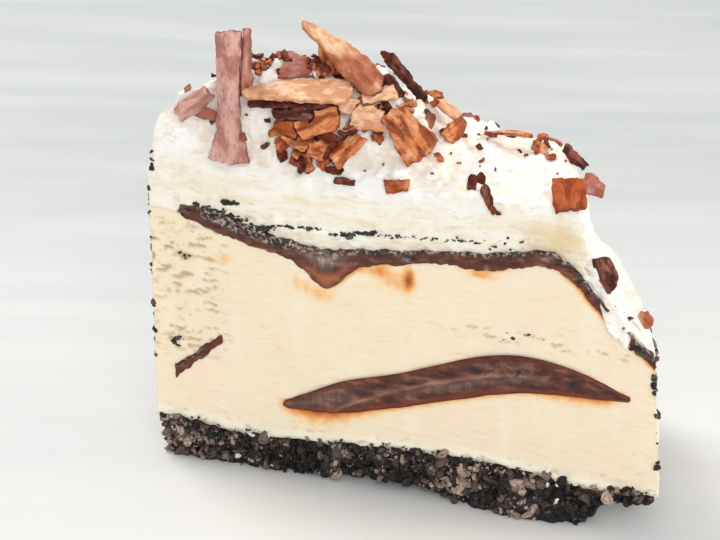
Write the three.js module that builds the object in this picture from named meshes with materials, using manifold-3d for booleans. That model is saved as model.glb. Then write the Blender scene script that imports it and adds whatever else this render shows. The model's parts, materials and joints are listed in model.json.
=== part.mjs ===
// A slice of ice cream cake: a wedge cut from a round cake, standing on its crumb crust.
// From the bottom: crumb crust, ice cream with a thick lens of fudge and a thin streak
// near the tip, a fudge layer that wraps over the outer shoulder, a mound of whipped
// cream, and chocolate shavings heaped on the cream.
// Units are millimetres. +Z is up, +X runs from the tip to the outer rim.
import * as THREE from 'three';
import { mergeVertices } from 'three/addons/utils/BufferGeometryUtils.js';
import Module from 'manifold-3d';

const wasm = await Module();
wasm.setup();

// ---------------------------------------------------------------- driving dimensions
const CAKE_RADIUS = 116; // centre of the whole cake to its rim
const HALF_ANGLE = THREE.MathUtils.degToRad(14); // the slice is 28 degrees wide
const TIP_RADIUS = 2.2; // the tip is blunt: it starts this far from the cake's centre
const APEX_X = -57.35; // where the whole cake's centre lies in the slice's own frame
const APEX_Y = 0.95;
const GAP = 0.3; // clearance between neighbouring pieces
const RIM_FLATTENING = 0.014; // the rim is this share of the radius flatter at mid slice
const RIM_TAPER = 0.02; // and this share narrower at the shoulder than at the crust
const RIM_SKEW = 0.07; // and this share nearer the cake's centre at the back cut
const CRUST_INSET = 2; // the crust ends this far inside the ice cream's tip and rim
const CRUST_CLUMP = 3; // crumb clumps stand this far out of the front cut face
const BROKEN_CORNER_HEIGHT = 7; // the crust's front rim corner has crumbled away
const BROKEN_EDGE_HEIGHT = 3; // and a stretch of its lower front edge
const SHOULDER_RETREAT = 6; // the shoulder lies this much nearer the centre at the back
const LEAST_CREAM = 0.9; // the cream is nowhere thinner than this
const BACK_DROOP = 2.8; // the mound's back sinks by this much towards the shoulder
const DRIP_DEPTH = 6; // a drip of fudge runs down into the ice cream
const DRIP_RADIUS = 42.5;
const DRIP_WIDTH = 5.4;
const STREAK_THICKNESS = 2.6;
const DOME_POWER = 2.4; // the cream's cross-section: steep at the cuts, flat on top

// Heights as smooth curves through [distance from the cake's centre, height] pairs.
const CRUST_TOP = curve([[2, 10.3], [10, 10.6], [26, 9.2], [44, 10.3], [60, 11.4], [76, 11.7],
  [90, 10.7], [100, 9.4], [116, 9.9]]);
const ICE_CREAM_TOP = curve([[2, 60.4], [8, 59.6], [20, 55.6], [36, 52.6], [54, 53.8],
  [68, 56], [77, 55.8], [90, 58.6], [96, 56.4], [101, 51.6], [107, 46.6], [116, 39]]);
const FUDGE_THICKNESS = curve([[7, 1], [12, 3.4], [18, 5], [26, 4.4], [36, 4.2], [54, 3.5],
  [68, 3], [76, 3.9], [92, 3.4], [100, 3.2], [107, 2.4], [114, 2]]);
const LENS_BOTTOM = curve([[28, 16.8], [44, 17.4], [58, 21], [70, 24.8], [86, 29.3], [110, 31]]);
const LENS_THICKNESS = curve([[28, 0.3], [32, 0.7], [37, 3.4], [46, 7.3], [58, 7.8], [66, 8.4],
  [76, 9.1], [88, 7.9], [98, 5.4], [110, 0.6]]);
const CREAM_EDGE = curve([[2.2, 66], [4.2, 73.5], [8, 76], [14, 75], [36, 71.8], [70, 72],
  [92, 72.5], [97.5, 71.5], [100, 64], [102, 58.5], [105, 54], [109, 49], [112, 45.7],
  [116, 42]]);
const CREAM_CREST = curve([[2.2, 69], [4.2, 79.5], [7.3, 83.7], [14, 89], [22, 93.5],
  [28, 95.5], [42, 95], [54, 91.2], [64, 85], [74, 78.8], [90, 76.3], [96, 73], [99, 68.5],
  [101.5, 62], [104, 56.5], [107.5, 51.5], [111.5, 46.8], [116, 42.3]]);

// The layers share one grid of rings round the cake's centre, so their facets match.
const RINGS = 31;
const SECTORS = 6;
const ring = (i) => THREE.MathUtils.lerp(TIP_RADIUS, CAKE_RADIUS, i / RINGS);
const WHOLE_SPAN = [0, RINGS];
const FUDGE_SPAN = [2, RINGS];

// The pieces inside the ice cream, as distances from the cake's centre.
const LENS_SPAN = [28, 110];
const STREAK_SPAN = [7, 18];
const STREAK_HEIGHTS = [21.4, 31];

// The broad side of an upright shaving faces out of the front cut and a little up.
const FACING = new THREE.Vector3(0, -0.906, 0.423);

const COLOURS = {
  crust: { color: 0x1c1614, roughness: 0.9, metalness: 0 },
  ice_cream: { color: 0xf6e0bf, roughness: 0.55, metalness: 0 },
  fudge: { color: 0x34150f, roughness: 0.3, metalness: 0 },
  whipped_cream: { color: 0xfbf8ec, roughness: 0.6, metalness: 0 },
  dark_chocolate: { color: 0x5a2d28, roughness: 0.5, metalness: 0 },
  mauve_chocolate: { color: 0xa87670, roughness: 0.55, metalness: 0 },
  milk_chocolate: { color: 0xb0693c, roughness: 0.5, metalness: 0 },
  pale_chocolate: { color: 0xe3ad83, roughness: 0.5, metalness: 0 },
};

// ---------------------------------------------------------------- curves and helpers

// A smooth curve through the knots, level with its end knots beyond them.
function curve(knots) {
  const last = knots.length - 1;
  const slope = (i) => {
    const [a, b] = [knots[Math.max(i - 1, 0)], knots[Math.min(i + 1, last)]];
    return (b[1] - a[1]) / (b[0] - a[0]);
  };
  return (x) => {
    const at = THREE.MathUtils.clamp(x, knots[0][0], knots[last][0]);
    let i = 0;
    while (i < last - 1 && at > knots[i + 1][0]) i += 1;
    const span = knots[i + 1][0] - knots[i][0];
    const u = (at - knots[i][0]) / span;
    const rise = knots[i + 1][1] - knots[i][1];
    const [s0, s1] = [slope(i) * span, slope(i + 1) * span];
    return knots[i][1] + u * (s0 + u * (3 * rise - 2 * s0 - s1 + u * (s0 + s1 - 2 * rise)));
  };
}

const bump = (x, centre, width) => Math.exp(-(((x - centre) / width) ** 2));
const ease = THREE.MathUtils.smoothstep;

// Gentle unevenness between -1 and 1, the same on every run.
function unevenness(a, b, seed) {
  const slow = Math.sin(a + 1.7 * seed) * Math.cos(0.8 * b + seed);
  const quick = Math.sin(2.3 * a - 1.1 * b + 2.9 * seed);
  return 0.6 * slow + 0.4 * quick;
}

const backward = (t) => (t + 1) / 2; // 0 at the front cut, 1 at the back cut

// How far from the cake's centre a place really is that lies at r in the even, round cake.
function trueRadius(r, t, height) {
  const rim = 1 - RIM_FLATTENING * (1 - t * t) - RIM_TAPER * ease(height, 12, 44)
    - RIM_SKEW * backward(t);
  return r * THREE.MathUtils.lerp(1, rim, ease(r, 0.75 * CAKE_RADIUS, CAKE_RADIUS));
}

// A point of the slice: r from the cake's centre, t from -1 at the front cut to 1 at the
// back cut, and the height.
function slicePoint(r, t, height) {
  const radius = trueRadius(r, t, height);
  const angle = t * HALF_ANGLE;
  return new THREE.Vector3(
    APEX_X + radius * Math.cos(angle), APEX_Y + radius * Math.sin(angle), height);
}

// A closed solid from a block of nu by nv by nw cells whose corners place() puts in space.
function blockGeometry([nu, nv, nw], place) {
  const positions = [];
  const faces = [];
  const known = new Map();
  const corner = (i, j, k) => {
    const key = (i * (nv + 1) + j) * (nw + 1) + k;
    if (!known.has(key)) {
      known.set(key, known.size);
      positions.push(...place(i / nu, j / nv, k / nw).toArray());
    }
    return known.get(key);
  };
  const quad = (a, b, c, d) => faces.push(a, b, c, a, c, d);
  const side = (m, n, at) => {
    for (let p = 0; p < m; p += 1) {
      for (let q = 0; q < n; q += 1) {
        quad(at(p, q), at(p + 1, q), at(p + 1, q + 1), at(p, q + 1));
      }
    }
  };
  side(nu, nv, (i, j) => corner(i, j, nw));
  side(nv, nu, (j, i) => corner(i, j, 0));
  side(nv, nw, (j, k) => corner(nu, j, k));
  side(nw, nv, (k, j) => corner(0, j, k));
  side(nw, nu, (k, i) => corner(i, nv, k));
  side(nu, nw, (i, k) => corner(i, 0, k));
  const geometry = new THREE.BufferGeometry();
  geometry.setAttribute('position', new THREE.Float32BufferAttribute(positions, 3));
  geometry.setIndex(faces);
  return geometry;
}

function toSolid(geometry) {
  const merged = mergeVertices(geometry, 1e-4);
  return new wasm.Manifold(new wasm.Mesh({
    numProp: 3,
    vertProperties: new Float32Array(merged.attributes.position.array),
    triVerts: new Uint32Array(merged.index.array),
  }));
}

function toGeometry(solid) {
  const mesh = solid.getMesh();
  const geometry = new THREE.BufferGeometry();
  geometry.setAttribute('position', new THREE.BufferAttribute(mesh.vertProperties, 3));
  geometry.setIndex(new THREE.BufferAttribute(mesh.triVerts, 1));
  return geometry;
}

// The solid without the cutters, as the largest of the bodies that are left.
function cutAway(solid, cutters) {
  const left = cutters.reduce((rest, cutter) => rest.subtract(cutter), solid);
  return left.decompose().reduce((a, b) => (b.volume() > a.volume() ? b : a));
}

// A body of the slice between two radii and two heights that depend on r and t.
function bandGeometry(cells, [from, to], low, high, spread = 1) {
  return blockGeometry(cells, (u, v, w) => {
    const r = THREE.MathUtils.lerp(from, to, u);
    const t = spread * Math.sin((2 * v - 1) * Math.PI / 2);
    return slicePoint(r, t, THREE.MathUtils.lerp(low(r, t), high(r, t), w));
  });
}

// A whole layer of the cake, on the shared grid from one ring to another.
function layerGeometry([first, last], steps, low, high) {
  return bandGeometry([last - first, SECTORS, steps], [ring(first), ring(last)], low, high);
}

// ---------------------------------------------------------------- heights of the layers

// The radius at which a profile is read, so that the shoulder retreats behind the cut.
function profileRadius(r, t) {
  return r + SHOULDER_RETREAT * ease(t, -1, 1) * ease(r, 84, 100);
}

function crustTop(r, t) {
  return CRUST_TOP(r) + 0.5 * unevenness(r / 4, 3 * t, 1);
}

function drip(r, t) {
  return DRIP_DEPTH * bump(r, DRIP_RADIUS, DRIP_WIDTH) * bump(t, -1, 0.8);
}

function iceCreamTop(r, t) {
  const drift = backward(t) * (1.6 * Math.sin(r / 13) - 0.6) * ease(r, 5, 30);
  return ICE_CREAM_TOP(profileRadius(r, t)) + drift - drip(r, t);
}

function fudgeThickness(r, t) {
  const drift = 1 + 0.2 * backward(t) * Math.sin(r / 9 + 1);
  return FUDGE_THICKNESS(r) * drift + 0.85 * drip(r, t);
}

// The cream rests on the fudge, and at the tip, where there is none, on the ice cream.
function creamBottom(r, t) {
  const covered = ease(r, ring(FUDGE_SPAN[0] - 1), ring(FUDGE_SPAN[0]));
  return iceCreamTop(r, t) + GAP + covered * (fudgeThickness(r, t) + GAP);
}

function creamTop(r, t) {
  const dome = 1 - Math.abs(t) ** DOME_POWER;
  const at = profileRadius(r, t);
  const lumps = 1.3 * unevenness(r / 6, 4 * t, 5) * dome * ease(r, 8, 20);
  const droop = BACK_DROOP * ease(t, 0, 0.9) * ease(r, 66, 86) * (1 - ease(r, 98, 112));
  const height = THREE.MathUtils.lerp(CREAM_EDGE(at), CREAM_CREST(at), dome) + lumps - droop;
  return Math.max(height, creamBottom(r, t) + LEAST_CREAM);
}

// Every layer's height in the lens drifts a little towards the back cut.
function lensBottom(r, t) {
  return LENS_BOTTOM(r) + 1.8 * backward(t) * Math.sin(r / 19);
}

function lensThickness(r, t) {
  return LENS_THICKNESS(r) * (1 - 0.22 * backward(t));
}

// ---------------------------------------------------------------- the cake's own layers

function crustGeometry() {
  const top = (r, t) => crustTop(r, t) - 1.5 * GAP;
  const broken = (r, t) => {
    const corner = BROKEN_CORNER_HEIGHT * ease(r, 98, 108) * (1 - ease(t, -0.7, -0.3));
    const edge = BROKEN_EDGE_HEIGHT * bump(r, 55, 13) * (1 - ease(t, -0.98, -0.7));
    return corner + edge;
  };
  const geometry = layerGeometry(WHOLE_SPAN, 2, broken, top);
  const place = geometry.attributes.position;
  for (let i = 0; i < place.count; i += 1) {
    const point = new THREE.Vector3().fromBufferAttribute(place, i);
    const [along, across] = [point.x - APEX_X, point.y - APEX_Y];
    const r = Math.hypot(along, across);
    const t = Math.atan2(across, along) / HALF_ANGLE;
    const crumbs = 0.7 * unevenness(r / 2.1, point.z / 3, 2);
    const clump = CRUST_CLUMP * bump(r, 86, 12) * (1 - ease(point.z, 1, 8)) * (t < 0 ? 1 : 0.4);
    const outward = Math.abs(t) ** 6 * (crumbs + clump - 0.5) * ease(r, 4, 14);
    point.y += Math.sign(t) * outward;
    const crumbled = CRUST_INSET + 0.8 * unevenness(point.y / 3, point.z / 3, 3);
    point.x -= crumbled * (ease(r, 100, CAKE_RADIUS) - (1 - ease(r, TIP_RADIUS, 12)));
    place.setXYZ(i, point.x, point.y, point.z);
  }
  return geometry;
}

// The lens of fudge inside the ice cream; room widens it to the hole it lies in.
function lensGeometry(room = 0) {
  const span = [LENS_SPAN[0] - room, LENS_SPAN[1] + room];
  const spread = room > 0 ? 1.1 : 1;
  return bandGeometry([16, 2, 1], span, (r, t) => lensBottom(r, t) - room,
    (r, t) => lensBottom(r, t) + lensThickness(r, t) + room, spread);
}

// A slanting streak of fudge near the tip.
function streakGeometry(room = 0) {
  const span = [STREAK_SPAN[0] - room, STREAK_SPAN[1] + room];
  const middle = (r) => THREE.MathUtils.mapLinear(r, ...STREAK_SPAN, ...STREAK_HEIGHTS);
  const half = (r) => STREAK_THICKNESS / 2 - 0.06 * (r - STREAK_SPAN[0]) + 0.2 * Math.sin(r) + room;
  return bandGeometry([5, 1, 1], span, (r) => middle(r) - half(r), (r) => middle(r) + half(r),
    room > 0 ? 1.1 : 1);
}

function iceCreamGeometry() {
  const body = layerGeometry(WHOLE_SPAN, 3, crustTop, iceCreamTop);
  return toGeometry(cutAway(toSolid(body), [
    toSolid(lensGeometry(GAP)), toSolid(streakGeometry(GAP))]));
}

function fudgeGeometry() {
  return layerGeometry(FUDGE_SPAN, 1, (r, t) => iceCreamTop(r, t) + GAP,
    (r, t) => iceCreamTop(r, t) + GAP + fudgeThickness(r, t));
}

function creamGeometry() {
  return layerGeometry(WHOLE_SPAN, 2, creamBottom, creamTop);
}

// ---------------------------------------------------------------- chocolate shavings

// A shaving runs along `length` with its broad side towards `normal`. It narrows towards
// its far end by `taper`, is wider at its near end by `flare`, bends along its length by
// `bend`, arches across by `arch`, loses its corners by `round`, and its ends are ragged.
// `room` makes it larger all over.
function shavingGeometry(shaving, room = 0) {
  const { centre, length, normal, long, width, thick, seed } = shaving;
  const { taper = 0.2, flare = 0, bend = 0, arch = 0, round = 0.06 } = shaving;
  const across = new THREE.Vector3().crossVectors(normal, length);
  return blockGeometry([4, 2, 1], (u, v, w) => {
    const [a, b] = [2 * u - 1, 2 * v - 1];
    const ragged = 0.1 * width * Math.sin(7 * seed + 4 * b) * a * a * a;
    const wave = 0.1 * Math.sin(5 * seed + 6 * u);
    const uneven = 1 - taper * u + flare * bump(u, 0, 0.16) - wave - round * a ** 4;
    const along = a * (long / 2 * (1 - round * b * b) + room) + ragged;
    const sideways = b * (width / 2 * uneven + room);
    const lift = bend * (1 - a * a) + arch * (1 - b * b);
    const half = thick / 2 * (1 - 0.25 * Math.abs(b) * (1 - room)) + room;
    return centre.clone()
      .addScaledVector(length, along)
      .addScaledVector(across, sideways)
      .addScaledVector(normal, lift + (2 * w - 1) * half);
  });
}

// A point given as [distance along the slice, distance across it, height].
function inSlice([along, across, height]) {
  return new THREE.Vector3(APEX_X + along, APEX_Y + across, height);
}

// A shaving that stands or leans between two points, turned about its own length.
function leaning(name, colour, from, to, width, thick, turn, extra = {}) {
  const [a, b] = [inSlice(from), inSlice(to)];
  const length = b.clone().sub(a).normalize();
  const normal = FACING.clone().addScaledVector(length, -FACING.dot(length)).normalize()
    .applyAxisAngle(length, THREE.MathUtils.degToRad(turn));
  const centre = a.clone().add(b).multiplyScalar(0.5);
  return { name, colour, centre, length, normal, long: a.distanceTo(b), width, thick, ...extra };
}

// The cream's height over a place in the slice.
function creamHeight(along, across) {
  const t = Math.atan2(across, along) / HALF_ANGLE;
  const distance = Math.hypot(along, across);
  let r = distance;
  for (let step = 0; step < 6; step += 1) {
    r += distance - trueRadius(r, t, creamTop(r, t));
  }
  return creamTop(r, t);
}

// Where the cream's surface is at a place in the slice, and which way it faces there.
function onCream(along, across) {
  const height = creamHeight;
  const step = 0.6;
  const slopeX = (height(along + step, across) - height(along - step, across)) / (2 * step);
  const slopeY = (height(along, across + step) - height(along, across - step)) / (2 * step);
  return {
    point: inSlice([along, across, height(along, across)]),
    normal: new THREE.Vector3(-slopeX, -slopeY, 1).normalize(),
  };
}

// A shaving that lies on the cream: heading turns it about the surface's normal, rise
// lifts its far end and lean its side, in degrees; lift is its height above the cream.
function lying(name, colour, [along, across], heading, long, width, thick, extra = {}) {
  const { point, normal } = onCream(along, across);
  const { rise = 0, lean = 0, lift = 0.3 } = extra;
  const length = new THREE.Vector3(1, 0, 0).addScaledVector(normal, -normal.x).normalize()
    .applyAxisAngle(normal, THREE.MathUtils.degToRad(heading));
  const across3 = new THREE.Vector3().crossVectors(normal, length);
  length.applyAxisAngle(across3, THREE.MathUtils.degToRad(-rise));
  const facing = new THREE.Vector3().crossVectors(length, across3)
    .applyAxisAngle(length, THREE.MathUtils.degToRad(lean));
  const centre = point.clone().addScaledVector(normal, lift);
  return { name, colour, centre, length, normal: facing, long, width, thick, ...extra };
}

const SHAVINGS = [
  leaning('stick', 'mauve_chocolate', [20.6, -6.2, 73.8], [20.8, -3.8, 101.7], 5, 2.4, -4,
    { taper: 0, flare: 0.7, arch: 0.7, bend: 0.4, round: 0 }),
  leaning('stick_fold', 'mauve_chocolate', [24.1, -4.3, 88.6], [24.2, -3.2, 102], 2.6, 2.2, 16,
    { taper: 0, arch: 0.4, round: 0 }),
  leaning('spear', 'pale_chocolate', [52, -6, 90.7], [36.2, -1.5, 103.1], 6.8, 1.8, 22,
    { taper: 0.52, bend: 0.8 }),
  leaning('plank', 'pale_chocolate', [23.9, -6.6, 89.2], [46.6, -8, 90.6], 4, 1.5, -40,
    { taper: -0.75, bend: 0.7 }),
  leaning('under_plank', 'dark_chocolate', [24.4, -5.6, 87], [43.4, -6.8, 87], 2.6, 1.2, -16,
    { taper: 0.3 }),
  leaning('prop', 'milk_chocolate', [40.7, -3.6, 92.2], [40.9, -2.6, 98.6], 3.6, 1.4, 10,
    { taper: 0.1 }),
  leaning('mauve_flake', 'mauve_chocolate', [31.2, -1, 93.8], [38.8, -2, 93.2], 6.2, 1.3, -14,
    { taper: 0.3, arch: 0.7 }),
  leaning('tip_flake', 'mauve_chocolate', [9.3, -2.9, 82.4], [16.4, -2.8, 88.1], 3.8, 1.4, 8,
    { arch: 0.5, taper: 0.1 }),
  leaning('tip_foot', 'mauve_chocolate', [13, -3.6, 84], [17.8, -3.8, 83], 2.6, 1.2, 0),
  leaning('leaf', 'milk_chocolate', [54.8, -8.4, 86.9], [61.9, -12.6, 78.8], 5.6, 2, 12,
    { taper: -0.55, bend: 0.5 }),
  leaning('strip_long', 'dark_chocolate', [53.2, 0.8, 95.8], [61.4, -1.8, 86.8], 2.8, 1.2, 20),
  leaning('strip_short', 'dark_chocolate', [52.8, -2, 92.2], [56.8, -4.2, 88.4], 2.6, 1.2, 0),
  leaning('ridge_brown', 'milk_chocolate', [66.1, -9.4, 81.2], [69.8, -5.4, 84.2], 3.8, 1.4, 10),
  leaning('shoulder_small', 'milk_chocolate', [84.5, -1.6, 78.4], [86.6, -5.4, 76.5], 3.2, 1.3, 30),
  leaning('shoulder_dark', 'dark_chocolate', [90.6, 0.6, 76.5], [95.4, -3, 73.2], 2.2, 1.2, 20,
    { bend: 0.6 }),
  leaning('shoulder_block', 'milk_chocolate', [91.2, -17.4, 77], [92, -23.2, 71.6], 7.2, 2.2, 0,
    { taper: 0, arch: 0.5, round: 0.22 }),
  leaning('shoulder_wing', 'mauve_chocolate', [94.6, -13.8, 74.9], [98.8, -10, 70.9], 4.2, 1.5, -10),
  leaning('rim_shard', 'dark_chocolate', [98.4, -24.2, 62.4], [101, -24.8, 55.3], 4.4, 1.6, 20),
  leaning('rim_chip', 'pale_chocolate', [107.4, -20.8, 48.7], [109.4, -22, 45.9], 2.9, 1.3, 20),
  lying('crown_dark', 'dark_chocolate', [34.4, -5.9], -4, 8.6, 3.8, 1.6, { lift: 1.2, lean: 12 }),
  lying('crown_ridge', 'milk_chocolate', [39.7, -7.3], 14, 9.2, 6.4, 1.8, { lift: 1.3, lean: -10 }),
  lying('crown_red', 'milk_chocolate', [33.2, -6.4], -24, 6.2, 4.2, 1.5, { lift: 0.9 }),
  lying('crown_edge', 'milk_chocolate', [35.4, -7.3], -34, 6.6, 5, 1.5, { lift: 0.8, lean: 6 }),
  lying('crown_low', 'milk_chocolate', [39.6, -8.6], -12, 5.6, 4.6, 1.6, { lift: 1, lean: 14 }),
  lying('curl', 'milk_chocolate', [45.9, -9.5], 44, 8.4, 5.4, 1.2, { lift: 1.5, arch: 1.8, taper: 0.3 }),
  lying('flake_upper', 'pale_chocolate', [52, -5.6], 8, 7.4, 4, 1, { lift: 0.8, rise: 6 }),
  lying('flake_lower', 'pale_chocolate', [50.6, -8.2], -14, 7.4, 6, 1, { lift: 1, lean: -8 }),
  lying('flake_small', 'pale_chocolate', [45.9, -6.9], 20, 4.6, 3.2, 1, { lift: 0.8, rise: 6 }),
  lying('ridge_pale', 'pale_chocolate', [65.9, -1.4], -32, 6, 4.6, 1.1, { lift: 1, rise: 10 }),
  lying('ridge_flat', 'milk_chocolate', [79.3, 1], -2, 9.6, 2.4, 0.9, { lift: 0.5, bend: 0.6 }),
  lying('front_chip', 'milk_chocolate', [56.4, -13.8], 6, 5.4, 3, 1.2, { lift: 0.4 }),
  lying('back_tip', 'milk_chocolate', [19, 3], 150, 8.4, 5, 1.4, { lift: 0.9, rise: 8 }),
  lying('back_plank', 'pale_chocolate', [30, 5], 12, 15, 5.6, 1.4, { lift: 1.2, lean: 14, bend: 0.8 }),
  lying('back_ridge', 'milk_chocolate', [41, 7.4], -24, 10, 6.4, 1.7, { lift: 1, lean: -12 }),
  lying('back_curl', 'dark_chocolate', [50, 9.4], 62, 9.4, 6, 1.2, { lift: 1.4, arch: 1.7 }),
  lying('back_leaf', 'milk_chocolate', [60, 9.2], -38, 11, 7, 1.7, { lift: 0.9, taper: 0.4 }),
  lying('back_flake', 'mauve_chocolate', [69.5, 12.4], -76, 7.6, 5, 1.2, { lift: 0.3 }),
  lying('back_chip', 'dark_chocolate', [79.5, 14.6], -84, 6, 3.4, 1.2, { lift: 0.3 }),
  lying('back_block', 'milk_chocolate', [88, 10.4], 72, 6.6, 5, 1.5, { lift: 0 }),
  lying('back_shoulder', 'mauve_chocolate', [92, 16.4], 80, 6.4, 4.6, 1.4, { lift: 0.1 }),
  lying('back_rim', 'dark_chocolate', [98, 16.5], 70, 7, 4, 1.3, { lift: 0.7 }),
].map((shaving, seed) => ({ ...shaving, seed: seed + 1 }));

// ---------------------------------------------------------------- assembly

function addPiece(group, name, colour, geometry) {
  const drawn = geometry.index ? geometry.toNonIndexed() : geometry;
  drawn.computeVertexNormals();
  const mesh = new THREE.Mesh(drawn, new THREE.MeshStandardMaterial(COLOURS[colour]));
  mesh.name = name;
  group.add(mesh);
}

// Each shaving is trimmed by those before it, and sinks into room cut for it in the cream.
function addShavingsAndCream(group) {
  const rooms = [];
  for (const shaving of SHAVINGS) {
    const solid = cutAway(toSolid(shavingGeometry(shaving)), rooms);
    addPiece(group, `chocolate_${shaving.name}`, shaving.colour, toGeometry(solid));
    rooms.push(toSolid(shavingGeometry(shaving, GAP)));
  }
  const cream = cutAway(toSolid(creamGeometry()), rooms);
  addPiece(group, 'whipped_cream', 'whipped_cream', toGeometry(cream));
}

const slice = new THREE.Group();
addPiece(slice, 'crust', 'crust', crustGeometry());
addPiece(slice, 'ice_cream', 'ice_cream', iceCreamGeometry());
addPiece(slice, 'fudge_lens', 'fudge', lensGeometry());
addPiece(slice, 'fudge_streak', 'fudge', streakGeometry());
addPiece(slice, 'fudge_layer', 'fudge', fudgeGeometry());
addShavingsAndCream(slice);

export default slice;
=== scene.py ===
"""The looks of a slice of ice cream cake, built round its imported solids.

Lengths are millimetres in the slice's own frame, +Z up and +X from the tip to the outer rim,
until a mesh is made. A place in the slice is r, t and a height: r is the distance from the
whole cake's centre, and t runs from -1 at the front cut to 1 at the back cut.
"""

import itertools
import json
import math

import bmesh
import bpy
import numpy as np
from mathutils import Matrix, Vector
from mathutils.bvhtree import BVHTree


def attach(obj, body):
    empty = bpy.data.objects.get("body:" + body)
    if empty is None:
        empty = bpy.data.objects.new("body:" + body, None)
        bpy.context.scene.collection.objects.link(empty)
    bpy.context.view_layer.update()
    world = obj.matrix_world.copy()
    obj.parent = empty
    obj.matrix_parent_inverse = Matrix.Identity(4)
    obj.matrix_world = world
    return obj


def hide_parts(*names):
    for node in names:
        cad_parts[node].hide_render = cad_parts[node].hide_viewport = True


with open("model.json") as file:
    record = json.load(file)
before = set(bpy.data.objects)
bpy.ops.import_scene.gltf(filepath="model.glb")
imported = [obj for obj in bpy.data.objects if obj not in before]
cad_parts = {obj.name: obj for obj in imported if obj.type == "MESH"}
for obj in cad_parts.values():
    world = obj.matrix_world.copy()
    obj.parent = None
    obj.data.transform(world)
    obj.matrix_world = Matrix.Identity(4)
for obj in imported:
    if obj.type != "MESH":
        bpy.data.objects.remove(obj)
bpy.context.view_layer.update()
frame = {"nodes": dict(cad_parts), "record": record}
MM = 0.001

# ---------------------------------------- the slice's sizes

CAKE_RADIUS = 116
HALF_ANGLE = math.radians(14)
TIP_RADIUS = 2.2
APEX_X = -57.35
APEX_Y = 0.95
RIM_FLATTENING = 0.014
RIM_TAPER = 0.02
RIM_SKEW = 0.07
CRUST_INSET = 2
CRUST_CLUMP = 3
BROKEN_CORNER_HEIGHT = 7
BROKEN_EDGE_HEIGHT = 3
SHOULDER_RETREAT = 6
LEAST_CREAM = 0.9
BACK_DROOP = 2.8
DRIP_DEPTH = 6
DRIP_RADIUS = 42.5
DRIP_WIDTH = 5.4
STREAK_THICKNESS = 2.6
DOME_POWER = 2.4
WHOLE_SPAN = (TIP_RADIUS, CAKE_RADIUS)
FUDGE_SPAN = (9.54, CAKE_RADIUS)
LENS_SPAN = (28, 110)
STREAK_SPAN = (7, 18)
STREAK_HEIGHTS = (21.4, 31)
OVERLAP = 0.4  # a layer reaches this far into the one below, so that no gap shows
FUDGE_LIFT = 0.3  # the fudge layer starts this far above the ice cream's own top
FUDGE_PROUD = 0.18  # the fudge stands this far out of the cut ice cream


def curve(knots):
    """A smooth curve through (distance, height) knots, level beyond the end knots."""
    x, z = np.array(knots, float).T
    after = np.minimum(np.arange(len(x)) + 1, len(x) - 1)
    before = np.maximum(np.arange(len(x)) - 1, 0)
    slope = (z[after] - z[before]) / (x[after] - x[before])

    def height(at):
        at = np.clip(at, x[0], x[-1])
        i = np.clip(np.searchsorted(x, at) - 1, 0, len(x) - 2)
        span = x[i + 1] - x[i]
        u = (at - x[i]) / span
        rise = z[i + 1] - z[i]
        start, end = slope[i] * span, slope[i + 1] * span
        return z[i] + u * (start + u * (3 * rise - 2 * start - end + u * (start + end - 2 * rise)))

    return height


CRUST_TOP = curve([(2, 10.3), (10, 10.6), (26, 9.2), (44, 10.3), (60, 11.4), (76, 11.7),
                   (90, 10.7), (100, 9.4), (116, 9.9)])
ICE_CREAM_TOP = curve([(2, 60.4), (8, 59.6), (20, 55.6), (36, 52.6), (54, 53.8), (68, 56),
                       (77, 55.8), (90, 58.6), (96, 56.4), (101, 51.6), (107, 46.6), (116, 39)])
FUDGE_THICKNESS = curve([(7, 1), (12, 3.4), (18, 5), (26, 4.4), (36, 4.2), (54, 3.5), (68, 3),
                         (76, 3.9), (92, 3.4), (100, 3.2), (107, 2.4), (114, 2)])
LENS_BOTTOM = curve([(28, 16.8), (44, 17.4), (58, 21), (70, 24.8), (86, 29.3), (110, 31)])
LENS_THICKNESS = curve([(28, 0.3), (32, 0.7), (37, 3.4), (46, 7.3), (58, 7.8), (66, 8.4), (76, 9.1),
                        (88, 7.9), (98, 5.4), (110, 0.6)])
CREAM_EDGE = curve([(2.2, 66), (4.2, 73.5), (8, 76), (14, 75), (36, 71.8), (70, 72),
                    (92, 72.5), (97.5, 71.5), (100, 64), (102, 58.5), (105, 54), (109, 49),
                    (112, 45.7), (116, 42)])
CREAM_CREST = curve([(2.2, 69), (4.2, 79.5), (7.3, 83.7), (14, 89), (22, 93.5), (28, 95.5),
                     (42, 95), (54, 91.2), (64, 85), (74, 78.8), (90, 76.3), (96, 73), (99, 68.5),
                     (101.5, 62), (104, 56.5), (107.5, 51.5), (111.5, 46.8), (116, 42.3)])
LENS_SEAM = curve([(44, 17.6), (47, 19.6), (59, 25.4), (70, 29.4), (81, 32.6), (94, 33.4)])


def portion(x, low, high):
    """How far x has come from low to high, from 0 to 1."""
    return np.clip((x - low) / (high - low), 0, 1)


def ease(x, low, high):
    u = portion(x, low, high)
    return u * u * (3 - 2 * u)


def between(x, rise, fall):
    """1 from the end of the rise to the start of the fall, and 0 outside them."""
    return ease(x, *rise) * (1 - ease(x, *fall))


def bump(x, centre, width):
    return np.exp(-(((x - centre) / width) ** 2))


def blend(a, b, share):
    return a + (b - a) * share


def unevenness(a, b, seed):
    slow = np.sin(a + 1.7 * seed) * np.cos(0.8 * b + seed)
    quick = np.sin(2.3 * a - 1.1 * b + 2.9 * seed)
    return 0.6 * slow + 0.4 * quick


# ---------------------------------------- heights of the layers


def backward(t):
    return (t + 1) / 2


def profile_radius(r, t):
    return r + SHOULDER_RETREAT * ease(t, -1, 1) * ease(r, 84, 100)


def crust_top(r, t):
    return CRUST_TOP(r) + 0.5 * unevenness(r / 4, 3 * t, 1)


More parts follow.
